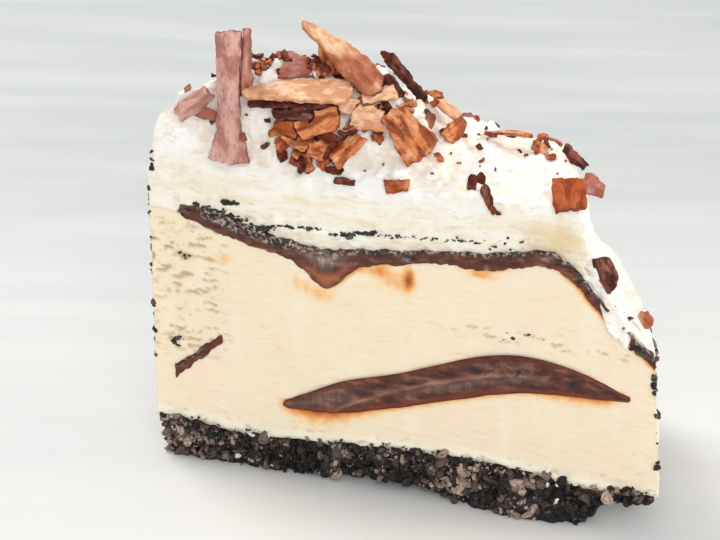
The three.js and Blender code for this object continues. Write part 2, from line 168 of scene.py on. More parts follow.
def crust_bottom(r, t):
    corner = BROKEN_CORNER_HEIGHT * ease(r, 98, 108) * (1 - ease(t, -0.7, -0.3))
    edge = BROKEN_EDGE_HEIGHT * bump(r, 55, 13) * (1 - ease(t, -0.98, -0.7))
    return corner + edge


def drip(r, t):
    return DRIP_DEPTH * bump(r, DRIP_RADIUS, DRIP_WIDTH) * bump(t, -1, 0.8)


def ice_cream_top(r, t):
    drift = backward(t) * (1.6 * np.sin(r / 13) - 0.6) * ease(r, 5, 30)
    return ICE_CREAM_TOP(profile_radius(r, t)) + drift - drip(r, t)


def fudge_thickness(r, t):
    drift = 1 + 0.2 * backward(t) * np.sin(r / 9 + 1)
    return FUDGE_THICKNESS(r) * drift + 0.85 * drip(r, t)


def fudge_top(r, t):
    return ice_cream_top(r, t) + fudge_thickness(r, t) + FUDGE_LIFT


def cream_top(r, t):
    dome = 1 - np.abs(t) ** DOME_POWER
    at = profile_radius(r, t)
    droop = BACK_DROOP * ease(t, 0, 0.9) * between(r, (66, 86), (98, 112))
    height = blend(CREAM_EDGE(at), CREAM_CREST(at), dome) - droop
    return np.maximum(height, fudge_top(r, t) + LEAST_CREAM)


def lens_bottom(r, t):
    return LENS_BOTTOM(r) + 1.8 * backward(t) * np.sin(r / 19)


def lens_thickness(r, t):
    return LENS_THICKNESS(r) * (1 - 0.22 * backward(t))


def streak_middle(r):
    return np.interp(r, STREAK_SPAN, STREAK_HEIGHTS)


def streak_half(r):
    return STREAK_THICKNESS / 2 - 0.06 * (r - STREAK_SPAN[0]) + 0.2 * np.sin(r)


def in_slice(r, t, height):
    """Points in space from places in the slice."""
    rim = 1 - RIM_FLATTENING * (1 - t * t) - RIM_TAPER * ease(height, 12, 44)
    rim = rim - RIM_SKEW * backward(t)
    radius = r * blend(1, rim, ease(r, 0.75 * CAKE_RADIUS, CAKE_RADIUS))
    angle = t * HALF_ANGLE
    x, y = APEX_X + radius * np.cos(angle), APEX_Y + radius * np.sin(angle)
    return np.stack([x, y, height], axis=-1)


# ---------------------------------------- noise


def hashed(cells, salt):
    """A number from 0 to 1 for each cell of whole numbers, the same on every run."""
    x, y, z = np.moveaxis(cells.astype(np.int64), -1, 0)
    n = (x * 73856093) ^ (y * 19349663) ^ (z * 83492791) ^ (salt * 2654435761)
    n &= 0xFFFFFFFF
    n = ((n ^ (n >> 15)) * 2246822519) & 0xFFFFFFFF
    n = ((n ^ (n >> 13)) * 3266489917) & 0xFFFFFFFF
    return (n ^ (n >> 16)) / 0xFFFFFFFF


def hashed_places(cells, seed):
    """A place in each cell, the same on every run."""
    return np.stack([hashed(cells, 3 * seed + k) for k in range(3)], axis=-1)


def noise(points, size, seed=0):
    """Smooth noise from about -1 to 1. It changes over size, one length or one for each axis."""
    at = points / size
    cell = np.floor(at)
    offset = at - cell
    fade = offset**3 * (offset * (offset * 6 - 15) + 10)
    total = np.zeros(len(points))
    for corner in itertools.product((0, 1), repeat=3):
        corner = np.array(corner)
        pull = ((2 * hashed_places(cell + corner, seed) - 1) * (offset - corner)).sum(axis=-1)
        total += pull * np.prod(np.where(corner, fade, 1 - fade), axis=-1)
    return 1.6 * total


def layered_noise(points, size, seed=0, octaves=3):
    size = np.array(size, float)
    return sum(noise(points, size / 2**k, seed + k) / 2**k for k in range(octaves))


def grains(points, size, seed=0):
    """Rounded grains packed side by side: 1 at a grain's middle, 0 between grains."""
    at = points / size
    cell = np.floor(at)
    nearest = np.full(len(points), 9.0)
    for step in itertools.product((-1, 0, 1), repeat=3):
        near = cell + np.array(step)
        centre = near + hashed_places(near, seed)
        nearest = np.minimum(nearest, ((at - centre) ** 2).sum(axis=-1))
    return np.sqrt(np.clip(1 - nearest / 0.55, 0, 1))


# ---------------------------------------- materials


def tone(red, green, blue):
    """A colour from its 0 to 255 screen values."""
    def linear(value):
        value /= 255
        return value / 12.92 if value <= 0.04045 else ((value + 0.055) / 1.055) ** 2.4
    return (linear(red), linear(green), linear(blue), 1)


def blend_tone(a, b, share):
    return tuple(x + (y - x) * share for x, y in zip(a, b))


class Finish:
    """A Principled material, built node by node. Sizes of patterns are in millimetres."""

    def __init__(self, name, roughness, **sockets):
        self.material = bpy.data.materials.new(name)
        self.material.use_nodes = True
        self.tree = self.material.node_tree
        self.shader = self.tree.nodes["Principled BSDF"]
        self.set(self.shader, "Roughness", roughness)
        for socket, value in sockets.items():
            self.set(self.shader, socket.replace("_", " "), value)
        self.place = self.add("ShaderNodeTexCoord").outputs["Object"]

    def set(self, node, socket, value):
        target = node.inputs[socket]
        if isinstance(value, bpy.types.NodeSocket):
            self.tree.links.new(value, target)
        else:
            target.default_value = value

    def add(self, kind, settings=None, **sockets):
        node = self.tree.nodes.new(kind)
        for name, value in (settings or {}).items():
            setattr(node, name, value)
        for socket, value in sockets.items():
            self.set(node, socket.replace("_", " "), value)
        return node

    def trait(self, name, vector=False):
        node = self.add("ShaderNodeAttribute", {"attribute_name": name})
        return node.outputs["Vector" if vector else "Fac"]

    def noise(self, size, detail=3.0, stretch=(1, 1, 1), grain=None, roughness=0.5):
        """Noise over the object, or over a shaving's own grain, which is in millimetres."""
        shrunk = self.add("ShaderNodeVectorMath", {"operation": "MULTIPLY"})
        self.set(shrunk, 0, grain or self.place)
        self.set(shrunk, 1, tuple(1 / length for length in stretch))
        node = self.add("ShaderNodeTexNoise", Vector=shrunk.outputs["Vector"], Detail=detail,
                        Scale=(1 if grain else 1 / MM) / size, Roughness=roughness)
        return node.outputs["Fac"]

    def cells(self, size):
        return self.add("ShaderNodeTexVoronoi", Vector=self.place,
                        Scale=1 / (MM * size)).outputs["Distance"]

    def ramp(self, factor, *stops):
        node = self.add("ShaderNodeValToRGB", Fac=factor)
        elements = node.color_ramp.elements
        while len(elements) < len(stops):
            elements.new(0.5)
        for element, (position, colour) in zip(elements, stops):
            element.position = position
            element.color = colour
        return node.outputs["Color"]

    def range(self, value, low, high, to_low=0.0, to_high=1.0):
        node = self.add("ShaderNodeMapRange", Value=value, From_Min=low, From_Max=high,
                        To_Min=to_low, To_Max=to_high)
        return node.outputs["Result"]

    def math(self, operation, a, b):
        node = self.add("ShaderNodeMath", {"operation": operation})
        self.set(node, 0, a)
        self.set(node, 1, b)
        return node.outputs["Value"]

    def mix(self, factor, a, b):
        node = self.add("ShaderNodeMix", {"data_type": "RGBA"})
        self.set(node, 0, factor)
        self.set(node, 6, a)
        self.set(node, 7, b)
        return node.outputs[2]

    def painted(self, base, *coats):
        """The base with (amount, colour) coats over it, the last one on top."""
        for amount, colour in coats:
            base = self.mix(amount, base, colour)
        return base

    def colour(self, base, *coats):
        self.set(self.shader, "Base Color", self.painted(base, *coats))

    def relief(self, *layers):
        """Bump from (height, depth in millimetres) pairs."""
        normal = None
        for height, depth in layers:
            node = self.add("ShaderNodeBump", Height=height, Distance=depth * MM, Strength=1.0)
            if normal:
                self.set(node, "Normal", normal)
            normal = node.outputs["Normal"]
        self.set(self.shader, "Normal", normal)


def creamy(name, roughness, depth, weight=0.25):
    """A pale dairy finish that light sinks into."""
    return Finish(name, roughness, Subsurface_Weight=weight, Subsurface_Scale=depth * MM,
                  Subsurface_Radius=(1.0, 0.7, 0.45), IOR=1.35)


def ice_cream_finish():
    """Vanilla ice cream, stained orange-brown beside the fudge and pitted near the tip, with painted
    shade in its pits and a painted highlight along its lower lip.
    """
    f = creamy("ice_cream", 0.42, 2.0)
    warm = f.ramp(f.noise(16, 2, (1, 1, 2.2)), (0.36, tone(247, 231, 201)),
                  (0.52, tone(248, 231, 203)), (0.66, tone(249, 228, 202)))
    bands = f.noise(5, 2, (1, 1, 4))
    wisps = f.noise(1.3, 4, (3.6, 3.6, 0.7), roughness=0.6)
    # The pale coat is a painted highlight along the ice cream's lower lip over the crust; on the
    # smears it is their own whiter colour.
    base = f.painted(warm,
                     (f.range(bands, 0.5, 0.72, 0, 0.5), tone(250, 239, 217)),
                     (f.range(wisps, 0.56, 0.74, 0, 0.6), tone(252, 243, 222)),
                     (f.range(wisps, 0.42, 0.28, 0, 0.5), tone(232, 206, 166)),
                     (f.trait("pale"), tone(253, 246, 226)))
    stain = f.math("ADD", f.trait("stain"), f.range(f.noise(1.6), 0.3, 0.7, -0.07, 0.07))
    seep = f.ramp(stain, (0.06, tone(250, 232, 200)), (0.3, tone(250, 205, 150)),
                  (0.55, tone(232, 150, 75)), (0.85, tone(150, 66, 28)))
    # The pit coat darkens the pits: painted shade in their hollows.
    f.colour(base,
             (f.range(stain, 0.05, 0.3), seep),
             (f.range(f.trait("pit"), 0.1, 1.0, 0, 0.8), tone(192, 164, 116)))
    f.relief((f.noise(3, 4, (1, 1, 0.35)), 0.1), (f.noise(0.7, 3), 0.05))
    return f.material


def fudge_finish():
    """Dark fudge with a painted grey sheen in patches, a red-brown edge and crumbs in its top."""
    f = Finish("fudge", 0.36, Specular_IOR_Level=0.45)
    patches = f.ramp(f.noise(2.8, 4, (1.6, 1.6, 0.6), roughness=0.6), (0.36, tone(32, 11, 7)),
                     (0.46, tone(78, 30, 18)), (0.56, tone(94, 48, 31)), (0.68, tone(132, 88, 66)))
    curtain = f.range(f.noise(0.7, 3, (1, 1, 9)), 0.35, 0.66, 0.3, 1)
    grit = f.ramp(f.noise(0.9, 3), (0.4, tone(20, 11, 9)), (0.5, tone(66, 44, 37)),
                  (0.6, tone(186, 170, 157)))
    # The seam coat is a painted highlight on the lens's raised seam and pit rims, the sheen coat a
    # painted highlight, and the pit coat painted shade in the pits.
    f.colour(patches,
             (f.trait("glow"), tone(124, 46, 18)),
             (f.trait("seam"), tone(178, 132, 116)),
             (f.math("MULTIPLY", f.trait("sheen"), curtain), tone(192, 178, 167)),
             (f.trait("band"), tone(186, 108, 62)),
             (f.trait("grit"), grit),
             (f.trait("pit"), tone(44, 18, 14)))
    f.relief((f.noise(1.1, 4), 0.22), (f.noise(4, 2), 0.3))
    return f.material


def cream_finish():
    """Whipped cream: a painted brighter white on top, and painted shade on the cut faces, which are
    a little yellower and darker.
    """
    f = creamy("whipped_cream", 0.55, 1.2, 0.2)
    top = f.ramp(f.noise(3.2, 4, roughness=0.6), (0.34, tone(246, 237, 222)),
                 (0.46, tone(252, 248, 240)), (0.6, tone(255, 253, 250)))
    cut = f.ramp(f.noise(3.4, 4, (2.4, 2.4, 0.6)), (0.34, tone(244, 232, 208)),
                 (0.5, tone(249, 242, 225)), (0.66, tone(253, 249, 238)))
    wisps = f.range(f.noise(0.9, 3, (3.4, 3.4, 0.8)), 0.57, 0.7, 0, 0.5)
    # The cut trait picks the yellower, darker ramp on the cut faces: painted shade, as the top
    # catches more light.
    f.colour(f.mix(f.trait("cut"), top, cut),
             (f.trait("butter"), tone(232, 208, 163)),
             (wisps, tone(222, 204, 174)),
             # This coat is painted shade in the hollows between the puffs and in the torn pits of
             # the cut.
             (f.range(f.trait("crease_shade"), 0.1, 1, 0, 0.42), tone(228, 210, 180)))
    f.relief((f.noise(1.4, 4), 0.2), (f.noise(0.5, 3), 0.1))
    return f.material


def crust_finish():
    """Black cookie crumb with grey-brown grains."""
    f = Finish("cookie_crust", 0.62, Specular_IOR_Level=0.45)
    grain = f.ramp(f.noise(1.1, 3), (0.38, tone(16, 12, 12)), (0.52, tone(34, 26, 25)),
                   (0.63, tone(84, 70, 68)), (0.75, tone(128, 110, 106)))
    f.colour(grain, (f.range(f.noise(9, 2), 0.42, 0.66, 0.75, 0.1), tone(15, 11, 11)))
    f.relief((f.noise(0.6, 4), 0.3), (f.cells(0.8), 0.2))
    return f.material


def crumb_finish(name, dark, light, share):
    """Loose cookie crumbs, each of its own shade. The share of them is the lighter ones."""
    f = Finish(name, 0.6, Specular_IOR_Level=0.45)
    shade = f.ramp(f.trait("shade"), (0.0, dark), (1 - share, blend_tone(dark, light, 0.2)),
                   (1.0, light))
    f.colour(shade, (f.range(f.noise(0.6, 3), 0.42, 0.66, 0, 0.55), dark))
    f.relief((f.noise(0.35, 4), 0.2), (f.noise(0.9, 4), 0.35))
    return f.material


def chocolate_finish(name, face, bloom_and_highlight, warm, edge, deep):
    """A flaky chocolate shaving: mottled and bloomed, with painted highlights where raised and
    painted shade where low, darker at its edges.
    """
    f = Finish(name, 0.5, Specular_IOR_Level=0.22)
    grain, raised = f.trait("grain", vector=True), f.trait("raised")
    mottle = f.ramp(f.noise(1.9, 5, (1.6, 1, 1), grain, roughness=0.62),
                    (0.34, deep), (0.44, face), (0.54, face), (0.66, bloom_and_highlight))
    flecks = f.noise(0.7, 3, (2, 1, 1), grain)
    patches = f.range(f.noise(4.5, 3, (1.2, 1, 1), grain), 0.38, 0.62, 0.4, 1.8)
    toast = f.math("MULTIPLY", f.math("ADD", f.trait("toast"), 0.1), patches)
    toast = f.range(toast, 0, 1, 0, 0.82)
    hollow = f.mix(toast, deep, blend_tone(warm, tone(0, 0, 0), 0.45))
    side = f.math("MULTIPLY", f.trait("side"), f.range(f.noise(1.6, 3), 0.35, 0.62, 0.05, 0.85))
    # Raised flakes get a painted highlight in the bloom colour, and low places get painted shade in
    # the hollow colour.
    f.colour(mottle,
             (f.range(flecks, 0.56, 0.72, 0, 0.6), bloom_and_highlight),
             (f.range(raised, 0.05, 0.5, 0, 0.45), bloom_and_highlight),
             (toast, warm),
             (f.range(flecks, 0.44, 0.3, 0, 0.7), hollow),
             (f.range(raised, -0.02, -0.4, 0, 0.75), hollow),
             (side, edge))
    f.relief((f.noise(0.5, 4, (3, 1, 1), grain), 0.14), (f.noise(0.9, 5), 0.2))
    return f.material


def stage_finish(name, near, far):
    """A pale floor with painted shade that makes it greyer behind the slice."""
    f = Finish(name, 0.8)
    behind = f.add("ShaderNodeSeparateXYZ", Vector=f.place).outputs["Y"]
    streaks = f.range(f.noise(18, 3, (7, 1, 1)), 0.4, 0.7, 0, 0.16)
    f.colour(f.mix(f.range(behind, 0.03, 0.17), near, far), (streaks, tone(250, 250, 248)))
    return f.material


# Each chocolate's face, bloom and painted highlight, toasted, edge and deep tones.
CHOCOLATE = {
    "dark_chocolate": ((98, 42, 31), (162, 108, 90), (130, 44, 26), (50, 18, 15), (32, 12, 10)),
    "mauve_chocolate": ((209, 159, 146), (222, 182, 170), (162, 80, 56), (118, 62, 54),
                        (168, 108, 96)),
    "milk_chocolate": ((221, 131, 74), (242, 186, 139), (166, 66, 22), (104, 38, 18),
                       (126, 51, 23)),
    "pale_chocolate": ((241, 193, 154), (250, 219, 187), (160, 66, 30), (182, 104, 64),
                       (208, 140, 97)),
}

FINISHES = {
    "ice_cream": ice_cream_finish(),
    "fudge": fudge_finish(),
    "whipped_cream": cream_finish(),
    "crust": crust_finish(),
    "crumbs": crumb_finish("cookie_crumbs", tone(13, 9, 7), tone(204, 176, 160), 0.5),
    "specks": crumb_finish("cookie_specks", tone(26, 22, 20), tone(104, 98, 84), 0.4),
}
for chocolate, tones in CHOCOLATE.items():
    FINISHES[chocolate] = chocolate_finish(chocolate, *(tone(*rgb) for rgb in tones))


# ---------------------------------------- meshes


def lattice(cells):
    """The skin of a block of cells: u, v and w of its corners from 0 to 1, and its quads."""
    number = np.arange(np.prod(np.array(cells) + 1)).reshape(np.array(cells) + 1)

    def side(grid):
        corners = [grid[:-1, :-1], grid[1:, :-1], grid[1:, 1:], grid[:-1, 1:]]
        return np.stack(corners, axis=-1).reshape(-1, 4)

    tops = [number[:, :, -1], number[-1], number[:, -1].T]
    bottoms = [number[:, :, 0].T, number[0].T, number[:, 0]]
    pairs = zip(tops, bottoms)
    quads = np.concatenate([side(grid) for pair in pairs for grid in pair])
    used, quads = np.unique(quads, return_inverse=True)
    places = np.stack(np.unravel_index(used, number.shape), axis=-1) / np.array(cells)
    return places, quads.reshape(-1, 4)


def normals_of(points, faces):
    """The way out at each point."""
    ahead = points[faces[:, 2]] - points[faces[:, 0]]
    across = points[faces[:, -1]] - points[faces[:, 1]]
    out = np.cross(ahead, across)
    total = np.stack([
        np.bincount(faces.ravel(), np.repeat(out[:, k], faces.shape[1]), len(points))
        for k in range(3)
    ], axis=-1)
    return total / np.maximum(np.linalg.norm(total, axis=1, keepdims=True), 1e-9)


def joined(parts):
    """The points and faces of many (points, faces) pairs as one pair."""
    starts = np.cumsum([0] + [len(points) for points, _ in parts[:-1]])
    points = np.concatenate([points for points, _ in parts])
    return points, np.concatenate([faces + start for (_, faces), start in zip(parts, starts)])


def copied_faces(faces, size, count):
    """The faces of many shapes in a row that have the same faces and each size points."""
    starts = size * np.arange(count)[:, None, None]
    return (faces[None] + starts).reshape(-1, faces.shape[1])


class Skin:
    """The skin of one layer of the cake, with the place of each of its points in the slice."""

    def __init__(self, cells, span, low, high, crowding=0.0, dome=False):
        places, self.faces = lattice(cells)
        self.u, self.v, self.w = places.T
        along = self.u - crowding * np.sin(2 * np.pi * self.u) / (2 * np.pi)
        self.r = span[0] + (span[1] - span[0]) * along
        self.t = np.sin((self.v - 0.5) * np.pi)
        if dome:
            self.t = np.sign(self.t) * np.abs(self.t) ** (2 / DOME_POWER)
        bottom, top = low(self.r, self.t), high(self.r, self.t)
        self.points = in_slice(self.r, self.t, blend(bottom, top, self.w))
        self.on_cut = ((self.v == 0) | (self.v == 1)).astype(float)
        # 1 on the cuts, the tip and the rim, and 0 above and below.
        self.outside = np.maximum(self.on_cut, (self.u == 0) | (self.u == 1))

    def normals(self):
        return normals_of(self.points, self.faces)

    def push(self, amount):
        self.points += self.normals() * np.reshape(amount, (-1, 1))


def new_object(name, data):
    made = bpy.data.objects.new(name, data)
    bpy.context.scene.collection.objects.link(made)
    return made


def add_mesh(name, points, faces, slot, traits=None, finish=None, smooth=True):
    """A piece in its slot's finish, or in a finish of its own, which reads its points' traits."""
    mesh = bpy.data.meshes.new(name)
    mesh.vertices.add(len(points))
    mesh.vertices.foreach_set("co", (points * MM).astype(np.float32).ravel())
    mesh.loops.add(faces.size)
    mesh.loops.foreach_set("vertex_index", faces.astype(np.int32).ravel())
    mesh.polygons.add(len(faces))
    mesh.polygons.foreach_set("loop_start", np.arange(0, faces.size, faces.shape[1], dtype=np.int32))
    mesh.polygons.foreach_set("use_smooth", np.full(len(faces), smooth))
    mesh.update(calc_edges=True)
    for trait, values in (traits or {}).items():
        values = np.asarray(values, np.float32)
        kind, field = ("FLOAT_VECTOR", "vector") if values.ndim == 2 else ("FLOAT", "value")
        mesh.attributes.new(trait, kind, "POINT").data.foreach_set(field, values.ravel())
    mesh.materials.append(FINISHES[finish or slot])
    piece = new_object(name, mesh)
    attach(piece, "root")
    return piece


# ---------------------------------------- the cake's layers

# Runs of melted fudge in the ice cream: distance, height, width, depth, strength.
STAINS = [
    (54.5, 53.2, 2.6, 2, 0.42), (60.8, 52, 1.3, 3, 0.62), (58.5, 50.6, 4.6, 2.8, 0.34),
    (50, 52.4, 3, 1.6, 0.3), (76.5, 55.2, 3.6, 1.3, 0.5), (41, 45.6, 4.5, 2.4, 0.34),
    (36, 47.6, 3, 2, 0.24), (19, 50.5, 2.6, 1.4, 0.28), (30, 38, 9, 5, 0.07),
    (60, 14.5, 12, 2, 0.08),
]


def seeped(gap, depth, reach=1):
    """Fudge that has seeped over a gap, weaker with its depth, and none beyond a reach inside."""
    return np.where(gap > -reach, np.exp(-np.maximum(gap, 0) / depth), 0)


def stain_beside_fudge(r, t, height):
    """How strongly fudge has seeped into the ice cream at each place, from 0 to 1."""
    along_lens = between(r, (LENS_SPAN[0], LENS_SPAN[0] + 9), (104, 112))
    under_layer = seeped(ice_cream_top(r, t) - height, 0.9, reach=2)
    under_layer *= 0.12 + 0.6 * bump(r, 50, 8) + 0.55 * bump(r, 77, 5) + 0.75 * ease(r, 90, 97)
    depth = 1.1 + 1.4 * bump(r, 41, 9) + 0.6 * bump(r, 100, 8)
    under_lens = seeped(lens_bottom(r, t) - height, depth, reach=2) * along_lens
    under_lens *= 0.6 + 0.35 * bump(r, 41, 14) + 0.35 * bump(r, 101, 9)
    over_lens = seeped(height - lens_bottom(r, t) - lens_thickness(r, t), 0.4) * along_lens
    over_lens *= 0.12 + 0.4 * ease(r, 92, 104)
    by_streak = seeped(np.abs(height - streak_middle(r)) - streak_half(r), 0.5)
    by_streak *= between(r, (5, 7), (18, 20))
    runs = sum(strength * bump(r, at, wide) * bump(height, level, deep)
               for at, level, wide, deep, strength in STAINS)
    strongest = [0.75 * under_layer, under_lens, over_lens, 0.3 * by_streak, runs]
    return np.clip(np.maximum.reduce(strongest), 0, 1)


def rough_near_tip(r, height):
    return (1 - ease(r, 15, 24)) * between(height, (22, 30), (56, 60))


def make_ice_cream():
    skin = Skin((220, 44, 84), WHOLE_SPAN, lambda r, t: crust_top(r, t) - OVERLAP,
                lambda r, t: ice_cream_top(r, t) + OVERLAP, crowding=0.25)
    p, r, outside = skin.points, skin.r, skin.outside
    level = p[:, 2]
    rough = rough_near_tip(r, level)
    above_crust = 1 - ease(level, 11, 15)
    drag = 0.1 * layered_noise(p, (7, 7, 1), 3) + 0.22 * noise(p, 11, 7)
    pits = portion(layered_noise(p, (3.6, 3.6, 0.9), 11), 0.12, 0.62) * rough
    stray = portion(layered_noise(p, (3.2, 3.2, 1.1), 23), 0.32, 0.72)
    stray *= bump(level, 41.5, 3.2) * ease(r, 60, 74) + 0.8 * above_crust
    pits = np.maximum(pits, 0.8 * stray)
    ripple = 0.3 * rough * layered_noise(p, (4, 4, 1.3), 31) + 0.25 * above_crust * noise(p, 2, 5)
    pulled = 0.4 * (skin.u == 1) * layered_noise(p, (3, 3, 6), 37)
    skin.push(outside * (drag + ripple + pulled - 0.55 * pits))
    hem = above_crust * (skin.w == 0) * outside
    skin.points[:, 2] -= 1.3 * hem * np.clip(noise(p, 2.4, 17) + 0.1, 0, 1)
    skin.points += 0.35 * hem[:, None] * skin.normals() * (1, 1, 0)
    # The pit trait paints shade into the pits, and the pale trait paints a highlight along the lip
    # just above the crust.
    traits = {
        "stain": stain_beside_fudge(r, skin.t, level),
        "pit": pits * outside,
        "pale": 0.8 * bump(level, crust_top(r, skin.t) + 0.6, 1),
    }
    piece = add_mesh("ice_cream_body", skin.points, skin.faces, "ice_cream", traits)
    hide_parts("ice_cream")


def add_fudge(name, skin, node, **traits):
    zeros = np.zeros(len(skin.points))
    kinds = ("seam", "pit", "glow", "sheen", "band", "grit")
    traits = {kind: zeros + traits.get(kind, 0) for kind in kinds}
    piece = add_mesh(name, skin.points, skin.faces, "fudge", traits)
    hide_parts(node)


def make_fudge_layer():
    def ragged(r, t, seed):
        places = np.stack([r, 9 * t, np.zeros_like(r)], axis=-1)
        return 0.45 * layered_noise(places, 3, seed)

    skin = Skin((230, 40, 12), FUDGE_SPAN,
                lambda r, t: ice_cream_top(r, t) + FUDGE_LIFT + ragged(r, t, 41),
                lambda r, t: fudge_top(r, t) + 1.4 * ragged(r, t, 47))
    p, r, w = skin.points, skin.r, skin.w
    far = ease(r, 30, 40)
    grit = ease(w, 0.3 + 0.34 * far, 0.65 + 0.3 * far) * (1 - 0.2 * far) * ease(r, 12, 17)
    crumbly = (0.25 + 0.75 * grit) * grains(p, 1.5, 51) + 0.35 * grit * grains(p, 0.8, 53)
    covered = ease(r, 95, 101) * ease(skin.t, -0.7, 0)
    proud = FUDGE_PROUD + 0.22 * layered_noise(p, 2.2, 43) + crumbly - 0.15
    skin.push(skin.outside * blend(proud, -0.3, covered))
    glow = (1 - ease(w, 0, 0.3)) * (0.4 + 0.6 * ease(r, 80, 96))
    at_drip = skin.on_cut * (skin.t < 0)
    # The sheen over the drip and the grey traces on the cut are a painted highlight.
    sheen = bump(r, DRIP_RADIUS - 0.4, 3.6) * bump(w, 0.78, 0.22) * at_drip
    band = bump(r, DRIP_RADIUS, 4.8) * bump(w, 0.24, 0.13) * at_drip
    traces = np.clip(layered_noise(p, (3.4, 3.4, 1.4), 45) - 0.35, 0, 0.6) * skin.on_cut
    add_fudge("fudge_layer_body", skin, "fudge_layer", glow=0.8 * glow, grit=0.9 * grit,
              sheen=np.clip(0.85 * sheen + traces, 0, 1), band=0.8 * band)


def make_fudge_lens():
    skin = Skin((180, 20, 20), LENS_SPAN, lens_bottom,
                lambda r, t: lens_bottom(r, t) + lens_thickness(r, t))
    p, r, w = skin.points, skin.r, skin.w
    level = p[:, 2]
    seam = bump(level, LENS_SEAM(r) + 0.3 * noise(p, 4, 61), 0.45)
    seam *= between(r, (43, 48), (86, 94)) * (0.5 + 0.5 * noise(p, 3, 63))
    broken = bump(r, 84.5, 6) * bump(level, 33.6, 1.9) * skin.on_cut
    pits = portion(layered_noise(p, (1.9, 1.9, 1.2), 65), 0.05, 0.4) * broken
    proud = FUDGE_PROUD + 0.3 + 0.16 * layered_noise(p, 3.4, 67) + 0.3 * seam - 0.5 * pits
    skin.push(skin.outside * blend(-0.4, proud, ease(r, 31, 33.5)))
    glow = np.maximum(1 - ease(w, 0, 0.22), 0.6 * ease(w, 0.8, 1))
    # The seam and the pits' rims are painted lighter, a painted highlight; the grey patches go in as
    # a painted grey sheen; the pits are painted darker, painted shade.
    rims = np.clip(4 * pits * (1 - pits) - 0.3, 0, 1)
    under_seam = ease(LENS_SEAM(r) - level, 0.4, 1.4) * ease(w, 0.16, 0.36)
    grey = np.maximum(bump(r, 41, 7) * bump(w, 0.5, 0.3),
                      0.8 * under_seam * between(r, (56, 62), (84, 96)))
    grey *= 0.7 + 0.6 * noise(p, (6, 6, 2), 69)
    add_fudge("fudge_lens_body", skin, "fudge_lens", seam=np.clip(seam + 0.7 * rims, 0, 0.8),
              pit=pits, glow=0.7 * glow, sheen=np.clip(0.28 * grey, 0, 1))


def make_fudge_streak():
    wobble = lambda r: 0.25 * np.sin(1.7 * r) + 0.12 * np.sin(4.1 * r + 1)
    skin = Skin((44, 8, 10), STREAK_SPAN,
                lambda r, t: streak_middle(r) - streak_half(r) + wobble(r),
                lambda r, t: streak_middle(r) + streak_half(r) - 0.6 * wobble(r))
    skin.push(skin.outside * (0.3 + 0.2 * layered_noise(skin.points, 1.8, 71)))
    add_fudge("fudge_streak_body", skin, "fudge_streak", glow=0.2,
              grit=0.7 * ease(skin.w, 0.6, 1) * (1 - ease(skin.r, 11, 15)))


def smear_over_fudge(r, t):
    """Cream dragged down over the fudge at the shoulder of the front cut."""
    return between(r, (102, 104.5), (109, 111)) * bump(t, -1, 0.14)


def lump(points, size, seed):
    """Rounded lumps with soft valleys between them."""
    return np.sqrt(noise(points, size, seed) ** 2 + 0.01) - 0.1


def rounded_at(skin, near_edge):
    """The ways out of the skin, turned alike on both sides of the edge between cut and top."""
    level = np.zeros_like(near_edge)
    slanting = np.stack([level, 0.8 * np.sign(skin.t), level + 0.6], axis=-1)
    out = blend(skin.normals(), slanting, near_edge[:, None])
    return out / np.linalg.norm(out, axis=1, keepdims=True)


def cream_bottom(r, t):
    beyond_tip = 1 - ease(r, FUDGE_SPAN[0] - 2, FUDGE_SPAN[0])
    rest = blend(fudge_top(r, t), ice_cream_top(r, t), beyond_tip)
    ragged = 1 + 0.13 * np.sin(1.5 * r) + 0.07 * np.sin(3.3 * r + 1)
    return rest - OVERLAP - 3.4 * smear_over_fudge(r, t) * ragged


def make_cream():
    """The whipped cream, and the skin on which flakes lie."""
    skin = Skin((320, 120, 26), WHOLE_SPAN, cream_bottom, cream_top, crowding=0.6, dome=True)
    p, r, t = skin.points, skin.r, skin.t
    level = p[:, 2]
    edge = CREAM_EDGE(profile_radius(r, t))
    shown = (skin.w == 1) | (skin.outside > 0)
    mound = shown * ease(level, edge - 7, edge + 6)
    puffs = lump(p, 11, 81) + 0.6 * lump(p, 5.5, 83) + 0.36 * lump(p, 2.8, 84)
    fluff = lump(p, 1.7, 85) + 0.6 * lump(p, 1.1, 86)
    room = cream_top(r, t) - fudge_top(r, t)
    thin = 1 - ease(room, 2, 7)
    folds = np.maximum(3.6 * (puffs - 0.6 + 0.25 * thin) + 0.7 * (fluff - 0.3), -0.3 * room)
    cut = skin.on_cut * (1 - ease(level, edge - 6, edge - 0.5))
    streaks = 0.2 * layered_noise(p, (6, 6, 0.8), 87) + 0.16 * layered_noise(p, (2.4, 2.4, 1.2), 89)
    torn = portion(layered_noise(p, (3.4, 3.4, 0.8), 91), 0.24, 0.64)
    torn *= 0.4 + 0.6 * bump(level, fudge_top(r, t) + 2.5, 3)
    smear = smear_over_fudge(r, t) * (1.1 + 0.35 * noise(p, 3, 93))
    amount = mound * folds * ease(r, 3, 9) + cut * (streaks - 0.5 * torn)
    skin.points += rounded_at(skin, shown * bump(level, edge, 1.8)) * amount[:, None]
    skin.points[:, 1] += np.sign(t) * skin.on_cut * smear
    # The hollows and torn pits are painted darker: painted shade.
    hollows = portion(puffs, 0.3, 0.05) + 0.7 * portion(fluff, 0.18, 0)
    crease_shade = mound * hollows + cut * 0.8 * torn
    butter = bump(r, 93, 7) * bump(level, 65.5, 6.5) * cut * (0.85 + 0.3 * noise(p, 4, 95))
    # The cut trait gives the cut faces their painted shade.
    traits = {"cut": cut * (r < 100), "crease_shade": np.clip(crease_shade, 0, 1), "butter": butter}
    piece = add_mesh("cream_mound", skin.points, skin.faces, "whipped_cream", traits)
    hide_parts("whipped_cream")
    return skin.points, skin.faces


# ---------------------------------------- the crust and its crumbs


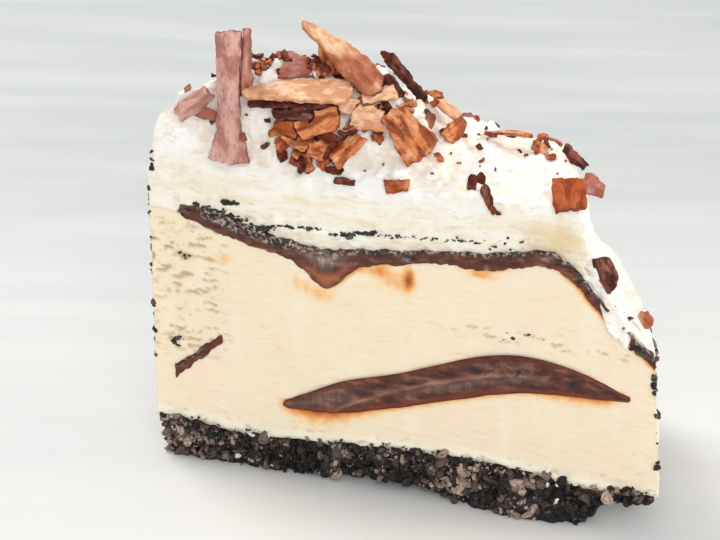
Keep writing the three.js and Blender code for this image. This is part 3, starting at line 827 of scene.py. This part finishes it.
def crust_outward(r, t, height):
    """How far the crust's cut faces stand out, as the solid's do."""
    crumbs = 0.7 * unevenness(r / 2.1, height / 3, 2)
    clump = CRUST_CLUMP * bump(r, 86, 12) * (1 - ease(height, 1, 8)) * np.where(t < 0, 1, 0.4)
    return np.abs(t) ** 6 * (crumbs + clump - 0.5) * ease(r, 4, 14)


def crumbled(points, r, t):
    """Points of the crust, moved out at the cuts and in at the tip and the rim."""
    moved = points.copy()
    moved[:, 1] += np.sign(t) * crust_outward(r, t, points[:, 2])
    inset = CRUST_INSET + 0.8 * unevenness(points[:, 1] / 3, points[:, 2] / 3, 3)
    moved[:, 0] -= inset * (ease(r, 100, CAKE_RADIUS) - (1 - ease(r, TIP_RADIUS, 12)))
    return moved


def make_crust():
    skin = Skin((220, 44, 24), WHOLE_SPAN, crust_bottom, lambda r, t: crust_top(r, t) - 0.1)
    skin.points = crumbled(skin.points, skin.r, skin.t)
    p = skin.points
    lumps = 1.1 * grains(p, 2.6, 101) + 0.55 * grains(p, 1.3, 103) + 0.4 * noise(p, 5, 105) - 0.9
    skin.push(np.where((skin.w < 1) | (skin.outside > 0), lumps, 0))
    skin.points[:, 2] = np.maximum(skin.points[:, 2], 0)
    piece = add_mesh("crumb_crust", skin.points, skin.faces, "crust")
    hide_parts("crust")


def ball(rings):
    """The corners and triangles of a round ball, as a start for a crumb."""
    form = bmesh.new()
    bmesh.ops.create_icosphere(form, subdivisions=rings, radius=1)
    points = np.array([v.co[:] for v in form.verts])
    faces = np.array([[v.index for v in face.verts] for face in form.faces])
    form.free()
    return points, faces


def turns(rng, count):
    """Random rotations."""
    turned, _ = np.linalg.qr(rng.normal(size=(count, 3, 3)))
    return turned * np.linalg.det(turned)[:, None, None]


def crumb_shapes(rng, centres, radii, detail, spread=(1, 1, 1)):
    """Corners and triangles of angular crumbs of many sizes."""
    points, faces = ball(detail)
    count = len(centres)
    shapes = np.repeat(points[None], count, axis=0)
    for _ in range(7):
        way = rng.normal(size=(count, 1, 3))
        way /= np.linalg.norm(way, axis=2, keepdims=True)
        beyond = (shapes * way).sum(axis=2, keepdims=True) - rng.uniform(0.45, 0.85, (count, 1, 1))
        shapes = shapes - np.maximum(beyond, 0) * way
    shapes *= 1 + rng.normal(0, 0.07, shapes.shape[:2])[:, :, None]
    shapes *= rng.uniform(0.45, 1.45, (count, 1, 3))
    shapes = shapes @ turns(rng, count) * spread * radii[:, None, None] + centres[:, None, :]
    corners = shapes.reshape(-1, 3)
    corners[:, 2] = np.maximum(corners[:, 2], 0.02)
    return corners, copied_faces(faces, len(points), count)


# Patches of paler or darker crumbs: distance, height, reach, and how much paler they are.
CRUST_PATCHES = [
    (12, 5, 7, 0.3), (20.5, 2.2, 5, 0.3), (27, 6, 5, 0.2), (36, 8, 6, -0.4), (46, 5, 8, -0.25),
    (71.8, 2.6, 5, 0.3), (86.4, 1.6, 5, 0.3), (96, 7, 4, -0.3), (102, 4.5, 5, -0.5),
]


def crumb_shades(rng, centres):
    """Pale and dark crumbs lie in patches."""
    r = np.hypot(centres[:, 0] - APEX_X, centres[:, 1] - APEX_Y)
    patch = 0.6 * noise(centres, (9, 9, 6), 107) + 0.5 * noise(centres, (4, 4, 3), 108)
    patch += sum(paler * bump(r, at, reach) * bump(centres[:, 2], height, 4)
                 for at, height, reach, paler in CRUST_PATCHES)
    return np.clip(0.38 + patch + rng.normal(0, 0.34, len(centres)), 0, 1)


def side_places(rng, r, t, outward, standing):
    """Places for crumbs at r and t on one side of the crust, standing out of it."""
    height = blend(crust_bottom(r, t), crust_top(r, t), rng.uniform(0.02, 0.98, len(r)))
    places = crumbled(in_slice(r, t, height), r, t)
    return places + np.outer(rng.normal(standing, 0.35, len(r)), outward)


def crust_places(rng, share, standing):
    """Places all round the crust. A share of one is as many as cover it."""
    places = []
    for t, cover in ((-1, 1000), (1, 800)):
        r = rng.uniform(3.5, 114.5, round(cover * share))
        places.append(side_places(rng, r, np.full(len(r), t), (0, t, 0), standing))
    for r, cover, outward in ((CAKE_RADIUS, 400, 1), (TIP_RADIUS, 40, -1)):
        t = rng.uniform(-0.99, 0.99, round(cover * share))
        places.append(side_places(rng, np.full(len(t), r), t, (outward, 0, 0), standing))
    return np.concatenate(places)


def add_crumbs(name, rng, centres, radii, detail):
    points, faces = crumb_shapes(rng, centres, radii, detail)
    shade = np.repeat(crumb_shades(rng, centres), len(points) // len(centres))
    add_mesh(name, points, faces, "crust", {"shade": shade}, "crumbs", smooth=False)


def make_crust_crumbs():
    rng = np.random.default_rng(7)
    chunks = crust_places(rng, 0.16, -0.1)
    crumbs = crust_places(rng, 0.72, 0.2)
    radii = np.concatenate([
        rng.uniform(1.0, 1.7, len(chunks)),
        np.clip(rng.lognormal(-0.45, 0.4, len(crumbs)), 0.3, 1.2),
    ])
    add_crumbs("crust_crumbs", rng, np.concatenate([chunks, crumbs]), radii, 2)
    grit = crust_places(rng, 1.5, 0.5)
    radii = np.clip(rng.lognormal(-1.0, 0.3, len(grit)), 0.2, 0.6)
    add_crumbs("crust_grit", rng, grit, radii, 1)


# Lines of cookie specks on the front cut: (r, height) at both ends, how many, their radius,
# and how far they scatter from the line.
SPECK_LINES = [
    ((19.6, 63.7), (23.4, 64), 22, 0.6, 0.2),
    ((28.8, 59.2), (31, 59.6), 10, 0.5, 0.2),
    ((32, 60), (41.5, 60.6), 44, 0.34, 0.14),
    ((43.8, 59.4), (53.5, 61.4), 46, 0.5, 0.2),
    ((54.4, 61), (66, 61.6), 30, 0.34, 0.22),
    ((64, 61.8), (76.5, 62.3), 32, 0.34, 0.24),
    ((76, 61.5), (86, 64), 16, 0.3, 0.7),
    ((9.4, 60.4), (13, 60.8), 16, 0.55, 0.35),
    ((13, 61.6), (20, 61.4), 40, 0.42, 0.5),
    ((20, 60.6), (30, 58.4), 46, 0.5, 0.5),
    ((103, 56), (108.5, 48.8), 15, 0.3, 1.1),
    ((9, 50.2), (12, 49.4), 7, 0.4, 0.4),
    ((6.4, 28.6), (9.6, 30.2), 14, 0.45, 0.5),
    ((80, 40.6), (94, 43), 9, 0.22, 0.7),
    ((110.6, 44.2), (115.4, 40.6), 13, 1.1, 0.5),
]
# The two cuts, and the share of each line's specks that the cut has.
SPECKED_CUTS = ((-1, 1), (1, 0.5))
# Cookie specks up the tip and the rim: (t, low height, high height, how many, radius).
TIP_SPECKS = [(-0.7, 62, 74, 15, 0.5), (-0.6, 22, 62, 13, 0.5), (0.5, 20, 72, 14, 0.5)]
RIM_SPECKS = [(-0.98, 33, 38, 9, 0.85), (-0.98, 26.5, 29, 5, 0.8), (-0.98, 12, 25, 5, 0.5),
              (-0.5, 10, 37, 40, 0.45), (0.2, 10, 37, 48, 0.45), (0.8, 10, 36, 38, 0.45)]
LINE_SPREAD = (1.25, 0.7, 0.8)


def line_specks(rng):
    """Places and radii of the specks that lie in lines on the two cuts."""
    centres, radii = [], []
    for line, (t, share) in itertools.product(SPECK_LINES, SPECKED_CUTS):
        start, end, count, radius, scatter = line
        count = int(count * share)
        at = np.sort(rng.uniform(0, 1, count))
        r = blend(start[0], end[0], at) + rng.normal(0, 0.3, count)
        height = blend(start[1], end[1], at) + rng.normal(0, scatter, count)
        height += ice_cream_top(r, t) - ice_cream_top(r, -1)
        place = in_slice(r, np.full(count, t), height)
        place[:, 1] += t * rng.uniform(-0.12, 0.15, count)
        centres.append(place)
        radii.append(0.8 * radius * rng.lognormal(0, 0.35, count))
    return np.concatenate(centres), np.concatenate(radii)


def end_specks(rng):
    """Places and radii of the specks up the tip and the rim."""
    centres, radii = [], []
    for t, low, high, count, radius in TIP_SPECKS:
        height = rng.uniform(low, high, count)
        reach = np.where(height > 66, 3.2, TIP_RADIUS)
        centres.append(in_slice(reach, np.clip(rng.normal(t, 0.5, count), -1, 1), height))
        radii.append(radius * rng.lognormal(0, 0.35, count))
    for t, low, high, count, radius in RIM_SPECKS:
        height = rng.uniform(low, high, count)
        t = np.clip(rng.normal(t, 0.16, count), -1, 1)
        centres.append(in_slice(np.full(count, CAKE_RADIUS - 0.2), t, height))
        radii.append(np.minimum(radius * rng.lognormal(0, 0.5, count), 1.2))
    return np.concatenate(centres), np.concatenate(radii)


def make_specks():
    rng = np.random.default_rng(23)
    kinds = [(*line_specks(rng), LINE_SPREAD), (*end_specks(rng), (1, 1, 1))]
    parts = [crumb_shapes(rng, centres, radii, 2, spread) for centres, radii, spread in kinds]
    points, faces = joined(parts)
    count = sum(len(radii) for _, radii, _ in kinds)
    shade = np.repeat(rng.uniform(0, 1, count), len(points) // count)
    add_mesh("cookie_specks", points, faces, "crust", {"shade": shade}, "specks", smooth=False)


SMEAR_BLOBS = 4
# Smears of ice cream over the front of the crust: distance, height, half length, half height.
CRUST_SMEARS = [
    (5, 10.4, 1.8, 0.8), (13.7, 10.2, 2.8, 1.1), (20, 9.4, 1.8, 0.7), (24.7, 8.2, 1.4, 1.2),
    (28.2, 8.6, 1, 0.9), (43, 10, 2.4, 1.6), (52, 11, 1.8, 0.7), (20.5, 2, 0.9, 0.5),
    (66, 10.9, 1.6, 0.6), (92.3, 10.4, 0.8, 1.6), (94, 4.4, 0.75, 2.3), (97.6, 8.8, 1.8, 0.8),
    (104.6, 9.4, 1.6, 0.7),
]


def smear_blob(rng, middle, size):
    """One uneven blob of a smear."""
    points, faces = ball(2)
    uneven = 1 + 0.5 * noise(points + rng.uniform(0, 50, 3), 0.7, 33)
    return points * uneven[:, None] * size + middle, faces


def make_crust_smears():
    rng = np.random.default_rng(31)
    parts = []
    for r, height, length, tall in CRUST_SMEARS:
        r, front = np.array([r]), np.array([-1])
        middle = crumbled(in_slice(r, front, np.array([height])), r, front)
        for _ in range(SMEAR_BLOBS):
            strayed = middle + rng.normal(0, 0.55, 3) * (length, 0.3, tall) - (0, 0.25, 0)
            size = np.array((length, 0.9, tall)) * rng.uniform(0.35, 0.75)
            parts.append(smear_blob(rng, strayed, size))
    points, faces = joined(parts)
    zeros = np.zeros(len(points))
    traits = {"stain": zeros, "pit": zeros, "pale": zeros + 0.7}
    add_mesh("ice_cream_smears", points, faces, "ice_cream", traits)


# ---------------------------------------- chocolate shavings

SHAVING_VOXEL = 0.29
TOPMOST = 200  # above every shaving
# Shavings that are redder and browner below a height: the height, and how much so.
TOASTED = {
    "chocolate_spear": (97.5, 1),
    "chocolate_stick_fold": (TOPMOST, 0.5),
    "chocolate_mauve_flake": (TOPMOST, 0.75),
    "chocolate_tip_foot": (TOPMOST, 1),
    "chocolate_crown_red": (TOPMOST, 1),
    "chocolate_shoulder_block": (TOPMOST, 1),
    "chocolate_shoulder_wing": (TOPMOST, 0.8),
    "chocolate_rim_chip": (TOPMOST, 1),
    "chocolate_front_chip": (TOPMOST, 0.6),
}
RELIEF = 0.3  # how far the flakes of a shaving's face stand up


def remeshed(mesh, voxel):
    """The points and quads of a mesh, evened out to cells of one size."""
    probe = new_object("probe", mesh.copy())
    modifier = probe.modifiers.new("even", "REMESH")
    modifier.mode = "VOXEL"
    modifier.voxel_size = voxel * MM
    evaluated = probe.evaluated_get(bpy.context.evaluated_depsgraph_get())
    even = evaluated.to_mesh()
    points = np.zeros(len(even.vertices) * 3, np.float32)
    even.vertices.foreach_get("co", points)
    corners = np.zeros(len(even.loops), np.int32)
    even.loops.foreach_get("vertex_index", corners)
    evaluated.to_mesh_clear()
    mesh_copy = probe.data
    bpy.data.objects.remove(probe)
    bpy.data.meshes.remove(mesh_copy)
    return points.reshape(-1, 3).astype(float) / MM, corners.reshape(-1, 4)


def own_axes(points):
    """A shaving's middle, and its length, width and thickness directions."""
    middle = points.mean(axis=0)
    _, directions = np.linalg.eigh(np.cov((points - middle).T))
    return middle, directions[:, ::-1]


def flaky(places):
    """The relief of broken chocolate: thin flakes lifting in steps, with fine ridges."""
    sheets = noise(places, (5, 1.9, 5), 117) + 0.5 * noise(places, (2.2, 1.1, 3), 118)
    steps = np.floor(4 * sheets) / 4
    return RELIEF * blend(sheets, steps, 0.75) + 0.1 * noise(places, (2.4, 0.55, 2), 119)


def ragged_edges(places, reach):
    """How the outline of a shaving wanders; reach is 0 at its middle and 1 at its outline."""
    wander = np.stack([
        0.55 * noise(places, (1.9, 1.5, 6), 111) + 0.3 * noise(places, (0.9, 0.8, 6), 112),
        0.45 * noise(places, (2.1, 1.5, 6), 113) + 0.3 * noise(places, (0.9, 0.8, 6), 114),
        0.3 * noise(places, (4, 2.6, 6), 115),
    ], axis=-1)
    at_corner = reach[:, :1] * reach[:, 1:2]
    return wander * reach * (1 - 0.7 * at_corner)


def make_shaving(name, slot, seed):
    """One shaving over its solid, and the skin it shows."""
    points, faces = remeshed(frame["nodes"][name].data, SHAVING_VOXEL)
    middle, axes = own_axes(points)
    local = (points - middle) @ axes
    shifted = local + 37.0 * seed
    reach = np.abs(local) / np.abs(local).max(axis=0)
    normals = normals_of(points, faces)
    broad = np.abs(normals @ axes[:, 2])
    relief = flaky(shifted)
    points = points + ragged_edges(shifted, reach) @ axes.T + normals * (relief * broad)[:, None]
    toasted_below, strength = TOASTED.get(name, (0, 0))
    traits = {
        "grain": shifted,
        "side": np.clip(1.3 * (1 - broad) - 0.25, 0, 1),
        "raised": relief / RELIEF,
        "toast": strength * (1 - ease(points[:, 2], toasted_below - 2, toasted_below + 2)),
    }
    piece = add_mesh(name.replace("chocolate", "shaving"), points, faces, slot, traits)
    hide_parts(name)
    return points, faces


def make_shavings():
    slots = {part["node"]: part["material_slot"] for part in frame["record"]["subparts"]}
    names = sorted(name for name in frame["nodes"] if name.startswith("chocolate_"))
    return [make_shaving(name, slots[name], seed) for seed, name in enumerate(names)]


# ---------------------------------------- small flakes of chocolate

FLAKE_CELLS = (8, 5, 2)
FLAKE_REACH = 8
FRONTWARD = np.array([0.07, -0.9, 0.42])
LOWEST_DRIFT = 74
DROP_HEIGHT = 140
# Small flakes, each with its place along and across the slice and up, its length and width,
# and its slope in degrees as seen from the front.
SMALL_FLAKES = {
    "dark_chocolate": [
        (72, -15.8, 74.1, 4.6, 1.9, 84), (73.6, -15.2, 74.9, 3, 1.9, 60),
        (74.8, -17.6, 72.6, 4.8, 2, 112), (76.2, -19, 70.2, 2.2, 1.2, 130),
        (77.4, -19.4, 69.4, 1.2, 0.8, 20), (39.2, -2.6, 96, 2.8, 1.7, 120),
        (46.6, -10, 82.2, 3.2, 1, 28), (44.8, -10, 81, 3.2, 1, 38),
        (43.1, -10, 79.6, 3, 1, 50), (42, -10, 77.7, 3, 1, 75),
        (40.6, -3, 94.2, 2.6, 1.6, 130), (39.8, -3.6, 91.6, 2.4, 1.4, 70),
        (31.3, -1.4, 96.8, 2.2, 1.4, 130), (28.9, -0.5, 94.1, 1.4, 1.1, 40),
        (52.5, -2, 96.1, 2.6, 1.2, 130), (45.3, -11.2, 72.2, 4.4, 1.1, 168),
        (43, -10.2, 74.1, 3.2, 1.8, 150), (28.2, -6.2, 77.9, 1.6, 1.2, 60),
        (28.8, -5.5, 83.1, 1.2, 0.9, 20), (26.3, 4, 96.6, 3.2, 0.8, 172),
        (29.9, 4, 95.8, 2.6, 0.8, 160), (70.2, -3.9, 81.6, 3.4, 0.8, 170),
        (73.6, -0.4, 80.2, 2.8, 0.8, 165), (73.4, -5.1, 79.7, 1.6, 1.1, 120),
        (104.6, -22.6, 48.2, 1.4, 1, 60),
    ],
    "mauve_chocolate": [
        (63.2, -5.8, 84.9, 3.2, 2.2, 70), (24, -7.6, 80.4, 1.8, 1.2, 110),
        (83.4, -4.2, 78.4, 2.2, 1.4, 150),
    ],
    "milk_chocolate": [
        (64.8, -11.8, 78.6, 2.2, 1.4, 110), (88.1, -6.2, 76.6, 2, 1.3, 20),
        (37.9, -9, 73.7, 2.2, 1.5, 30), (62.8, -1.8, 86.6, 2, 1.4, 60),
    ],
}
# Drifts of small flakes: the middle along and across, the spread, how many there are, their
# least and greatest length, and how many of ten are dark, milk and pale.
DRIFT_SLOTS = ("dark_chocolate", "milk_chocolate", "pale_chocolate")
FLAKE_DRIFTS = [
    ((35.5, -6.4), (3, 1.3), 90, (2, 4.8), (3, 6, 1)),
    ((41, -1.2), (3.4, 1.6), 30, (2, 4.6), (4, 4, 2)),
    ((29.5, -1), (2.2, 1.2), 12, (1.2, 3), (6, 3, 1)),
    ((49, -6.2), (4.4, 1.8), 50, (1.6, 4.4), (2, 4, 4)),
    ((59, -4), (4, 2), 16, (1, 2.8), (4, 4, 2)),
    ((22, -2), (5, 2), 12, (0.8, 2), (6, 3, 1)),
    ((84, -4), (8, 5), 18, (0.7, 2.2), (5, 4, 1)),
    ((38, 4.6), (8, 2.4), 40, (1.4, 4), (4, 4, 2)),
    ((66, 7), (14, 4), 26, (0.8, 2.8), (4, 4, 2)),
    ((60, -14), (16, 3), 12, (0.5, 1), (5, 5, 0)),
]


def surface_tree(skins):
    """A search tree over the skins that small flakes can lie on."""
    points, faces = joined(skins)
    return BVHTree.FromPolygons(points.tolist(), faces.tolist())


def slab_axes(length, normal):
    """Length, width and thickness directions of a flake, with its face towards the normal."""
    out = normal - length * (length @ normal)
    out /= np.linalg.norm(out)
    return np.stack([length, np.cross(out, length), out], axis=-1)


def sloping(degrees):
    """A direction in the plane of the front view."""
    slope = math.radians(degrees)
    return np.array([math.cos(slope), 0, math.sin(slope)])


def shown_surface(tree, near):
    """The surface in front of a place, as seen from the front, or else the nearest one."""
    place, normal, _, _ = tree.ray_cast(near + FLAKE_REACH * FRONTWARD, -FRONTWARD, FLAKE_REACH + 2)
    if place is None:
        place, normal, _, _ = tree.find_nearest(near)
    return np.array(place), np.array(normal)


def listed_flakes(tree, slot):
    """Place, axes, length and width of each small flake that the slot's list gives."""
    for along, across, height, length, width, slope in SMALL_FLAKES.get(slot, []):
        near = np.array([APEX_X + along, APEX_Y + across, height])
        place, normal = shown_surface(tree, near)
        yield place, slab_axes(sloping(slope), normal + FRONTWARD), length, width


def drifted_flakes(tree, rng, slot):
    """The same for the flakes of the drifts, dropped on the cream at random."""
    column = DRIFT_SLOTS.index(slot)
    for middle, spread, count, lengths, shares in FLAKE_DRIFTS:
        for _ in range(round(count * shares[column] / 10)):
            along, across = rng.normal(middle, spread)
            above = (APEX_X + along, APEX_Y + across, DROP_HEIGHT)
            place, normal, _, _ = tree.ray_cast(above, (0, 0, -1))
            if place is None or place.z < LOWEST_DRIFT:
                continue
            lean = np.array(normal) + rng.normal(0, 0.45, 3)
            turned = np.cross(lean, rng.normal(size=3))
            length = rng.uniform(*lengths) * rng.uniform(0.6, 1)
            width = length * rng.uniform(0.35, 0.75)
            yield np.array(place), slab_axes(turned / np.linalg.norm(turned), lean), length, width


def flake_points(rng, places, axes, length, width, seed):
    """The corners of one flake with a ragged outline, a slight curl and a flaky face."""
    local = (places - 0.5) * (length, width, 0.14 * length + 0.25)
    along = 2 * places[:, 0] - 1
    local[:, 1] *= 1 - rng.uniform(0, 0.5) * np.abs(along) ** 4
    local[:, 1] += rng.uniform(-0.3, 0.3) * width * along
    local[:, 2] += rng.uniform(-0.5, 0.9) * (places[:, 0] - 0.5) ** 2 * length
    shifted = local + 11.0 * seed
    relief = flaky(shifted)
    local += 0.9 * ragged_edges(shifted, np.abs(2 * places - 1))
    local[:, 2] += 0.5 * relief * (2 * places[:, 2] - 1)
    return local @ axes.T, shifted, relief


def make_small_flakes(cream, shavings):
    cream_tree, whole_tree = surface_tree([cream]), surface_tree([cream, *shavings])
    rng = np.random.default_rng(41)
    places, quads = lattice(FLAKE_CELLS)
    at_side = np.abs(2 * places[:, :2] - 1).max(axis=1) > 0.99
    for slot in CHOCOLATE:
        found = list(listed_flakes(whole_tree, slot))
        if slot in DRIFT_SLOTS:
            found += drifted_flakes(cream_tree, rng, slot)
        shapes = []
        for seed, (middle, axes, length, width) in enumerate(found):
            corners, shifted, relief = flake_points(rng, places, axes, length, width, seed)
            lift = (0.12 * length + 0.2) * axes[:, 2]
            shapes.append((corners + middle + lift, shifted, relief))
        points, shifted, relief = (np.concatenate(part) for part in zip(*shapes))
        traits = {
            "grain": shifted,
            "side": np.tile(0.8 * at_side, len(found)),
            "raised": relief / RELIEF,
            "toast": np.repeat(rng.uniform(0, 1, len(found)), len(places)),
        }
        faces = copied_faces(quads, len(places), len(found))
        name = slot.replace("chocolate", "flakes")
        add_mesh(name, points, faces, slot, traits, smooth=False)


# ---------------------------------------- stage, camera, light

CAMERA_AZIMUTH = math.radians(4.27)
CAMERA_ELEVATION = math.radians(25)
CAMERA_DISTANCE = 480
CAMERA_TARGET = (-9.72, 0.95, 46.65)
CAMERA_LENS = 110.57
CAMERA_SENSOR = 36
SKY_COLOUR = (0.97, 0.985, 1, 1)
SKY_STRENGTH = 0.59
LIGHT_TARGET = Vector((0, 0, 0.05))
# Each light's place and width in metres, its power in watts and its colour.
LIGHTS = {
    "window": ((-0.5, 0.35, 0.9), 0.5, 6.0, (1, 0.97, 0.93)),
    "fill": ((0.25, -1.1, 0.7), 0.8, 6.3, (1, 0.98, 0.95)),
    "side": ((1.1, -0.1, 0.5), 0.6, 6.4, (1, 0.95, 0.88)),
}


def make_stage():
    """A pale floor that curves up into a pale wall."""
    reach, front, wall, bend, top = 2600, -1800, 900, 500, 2200
    turn = np.linspace(0, np.pi / 2, 16)
    y = np.concatenate([[front], wall - bend + bend * np.sin(turn), [wall]])
    z = np.concatenate([[0], bend - bend * np.cos(turn), [top]])
    rows = [np.stack([np.full_like(y, x), y, z], axis=-1) for x in (-reach, reach)]
    points = np.concatenate(rows) * MM
    count = len(y)
    faces = [(k, k + count, k + count + 1, k + 1) for k in range(count - 1)]
    mesh = bpy.data.meshes.new("studio_floor")
    mesh.from_pydata(points.tolist(), [], faces)
    # The floor's far tone is painted shade behind the slice.
    mesh.materials.append(stage_finish("studio_floor", tone(219, 220, 220), tone(193, 197, 197)))
    floor = new_object("studio_floor", mesh)


def facing(direction):
    """The rotation of a camera or a light that points in a direction."""
    return direction.to_track_quat("-Z", "Y").to_euler()


def make_camera():
    flat = math.cos(CAMERA_ELEVATION)
    away = Vector((math.sin(CAMERA_AZIMUTH) * flat, -math.cos(CAMERA_AZIMUTH) * flat,
                   math.sin(CAMERA_ELEVATION)))
    data = bpy.data.cameras.new("camera")
    data.lens = CAMERA_LENS
    data.sensor_width = CAMERA_SENSOR
    data.clip_start = 0.01
    camera = new_object("camera", data)
    camera.location = (Vector(CAMERA_TARGET) + CAMERA_DISTANCE * away) * MM
    camera.rotation_euler = facing(-away)
    bpy.context.scene.camera = camera


def make_light():
    scene = bpy.context.scene
    scene.view_settings.view_transform = "Standard"
    scene.world = bpy.data.worlds.new("soft_room")
    scene.world.use_nodes = True
    background = scene.world.node_tree.nodes["Background"]
    background.inputs["Color"].default_value = SKY_COLOUR
    background.inputs["Strength"].default_value = SKY_STRENGTH
    for name, (place, width, power, colour) in LIGHTS.items():
        data = bpy.data.lights.new(name, "AREA")
        data.shape = "DISK"
        data.size = width
        data.energy = power
        data.color = colour
        light = new_object(name, data)
        light.location = place
        light.rotation_euler = facing(LIGHT_TARGET - Vector(place))


# ---------------------------------------- everything

make_camera()
make_stage()
make_light()
make_ice_cream()
make_fudge_layer()
make_fudge_lens()
make_fudge_streak()
CREAM_SKIN = make_cream()
make_crust()
make_crust_crumbs()
make_crust_smears()
make_specks()
make_small_flakes(CREAM_SKIN, make_shavings())
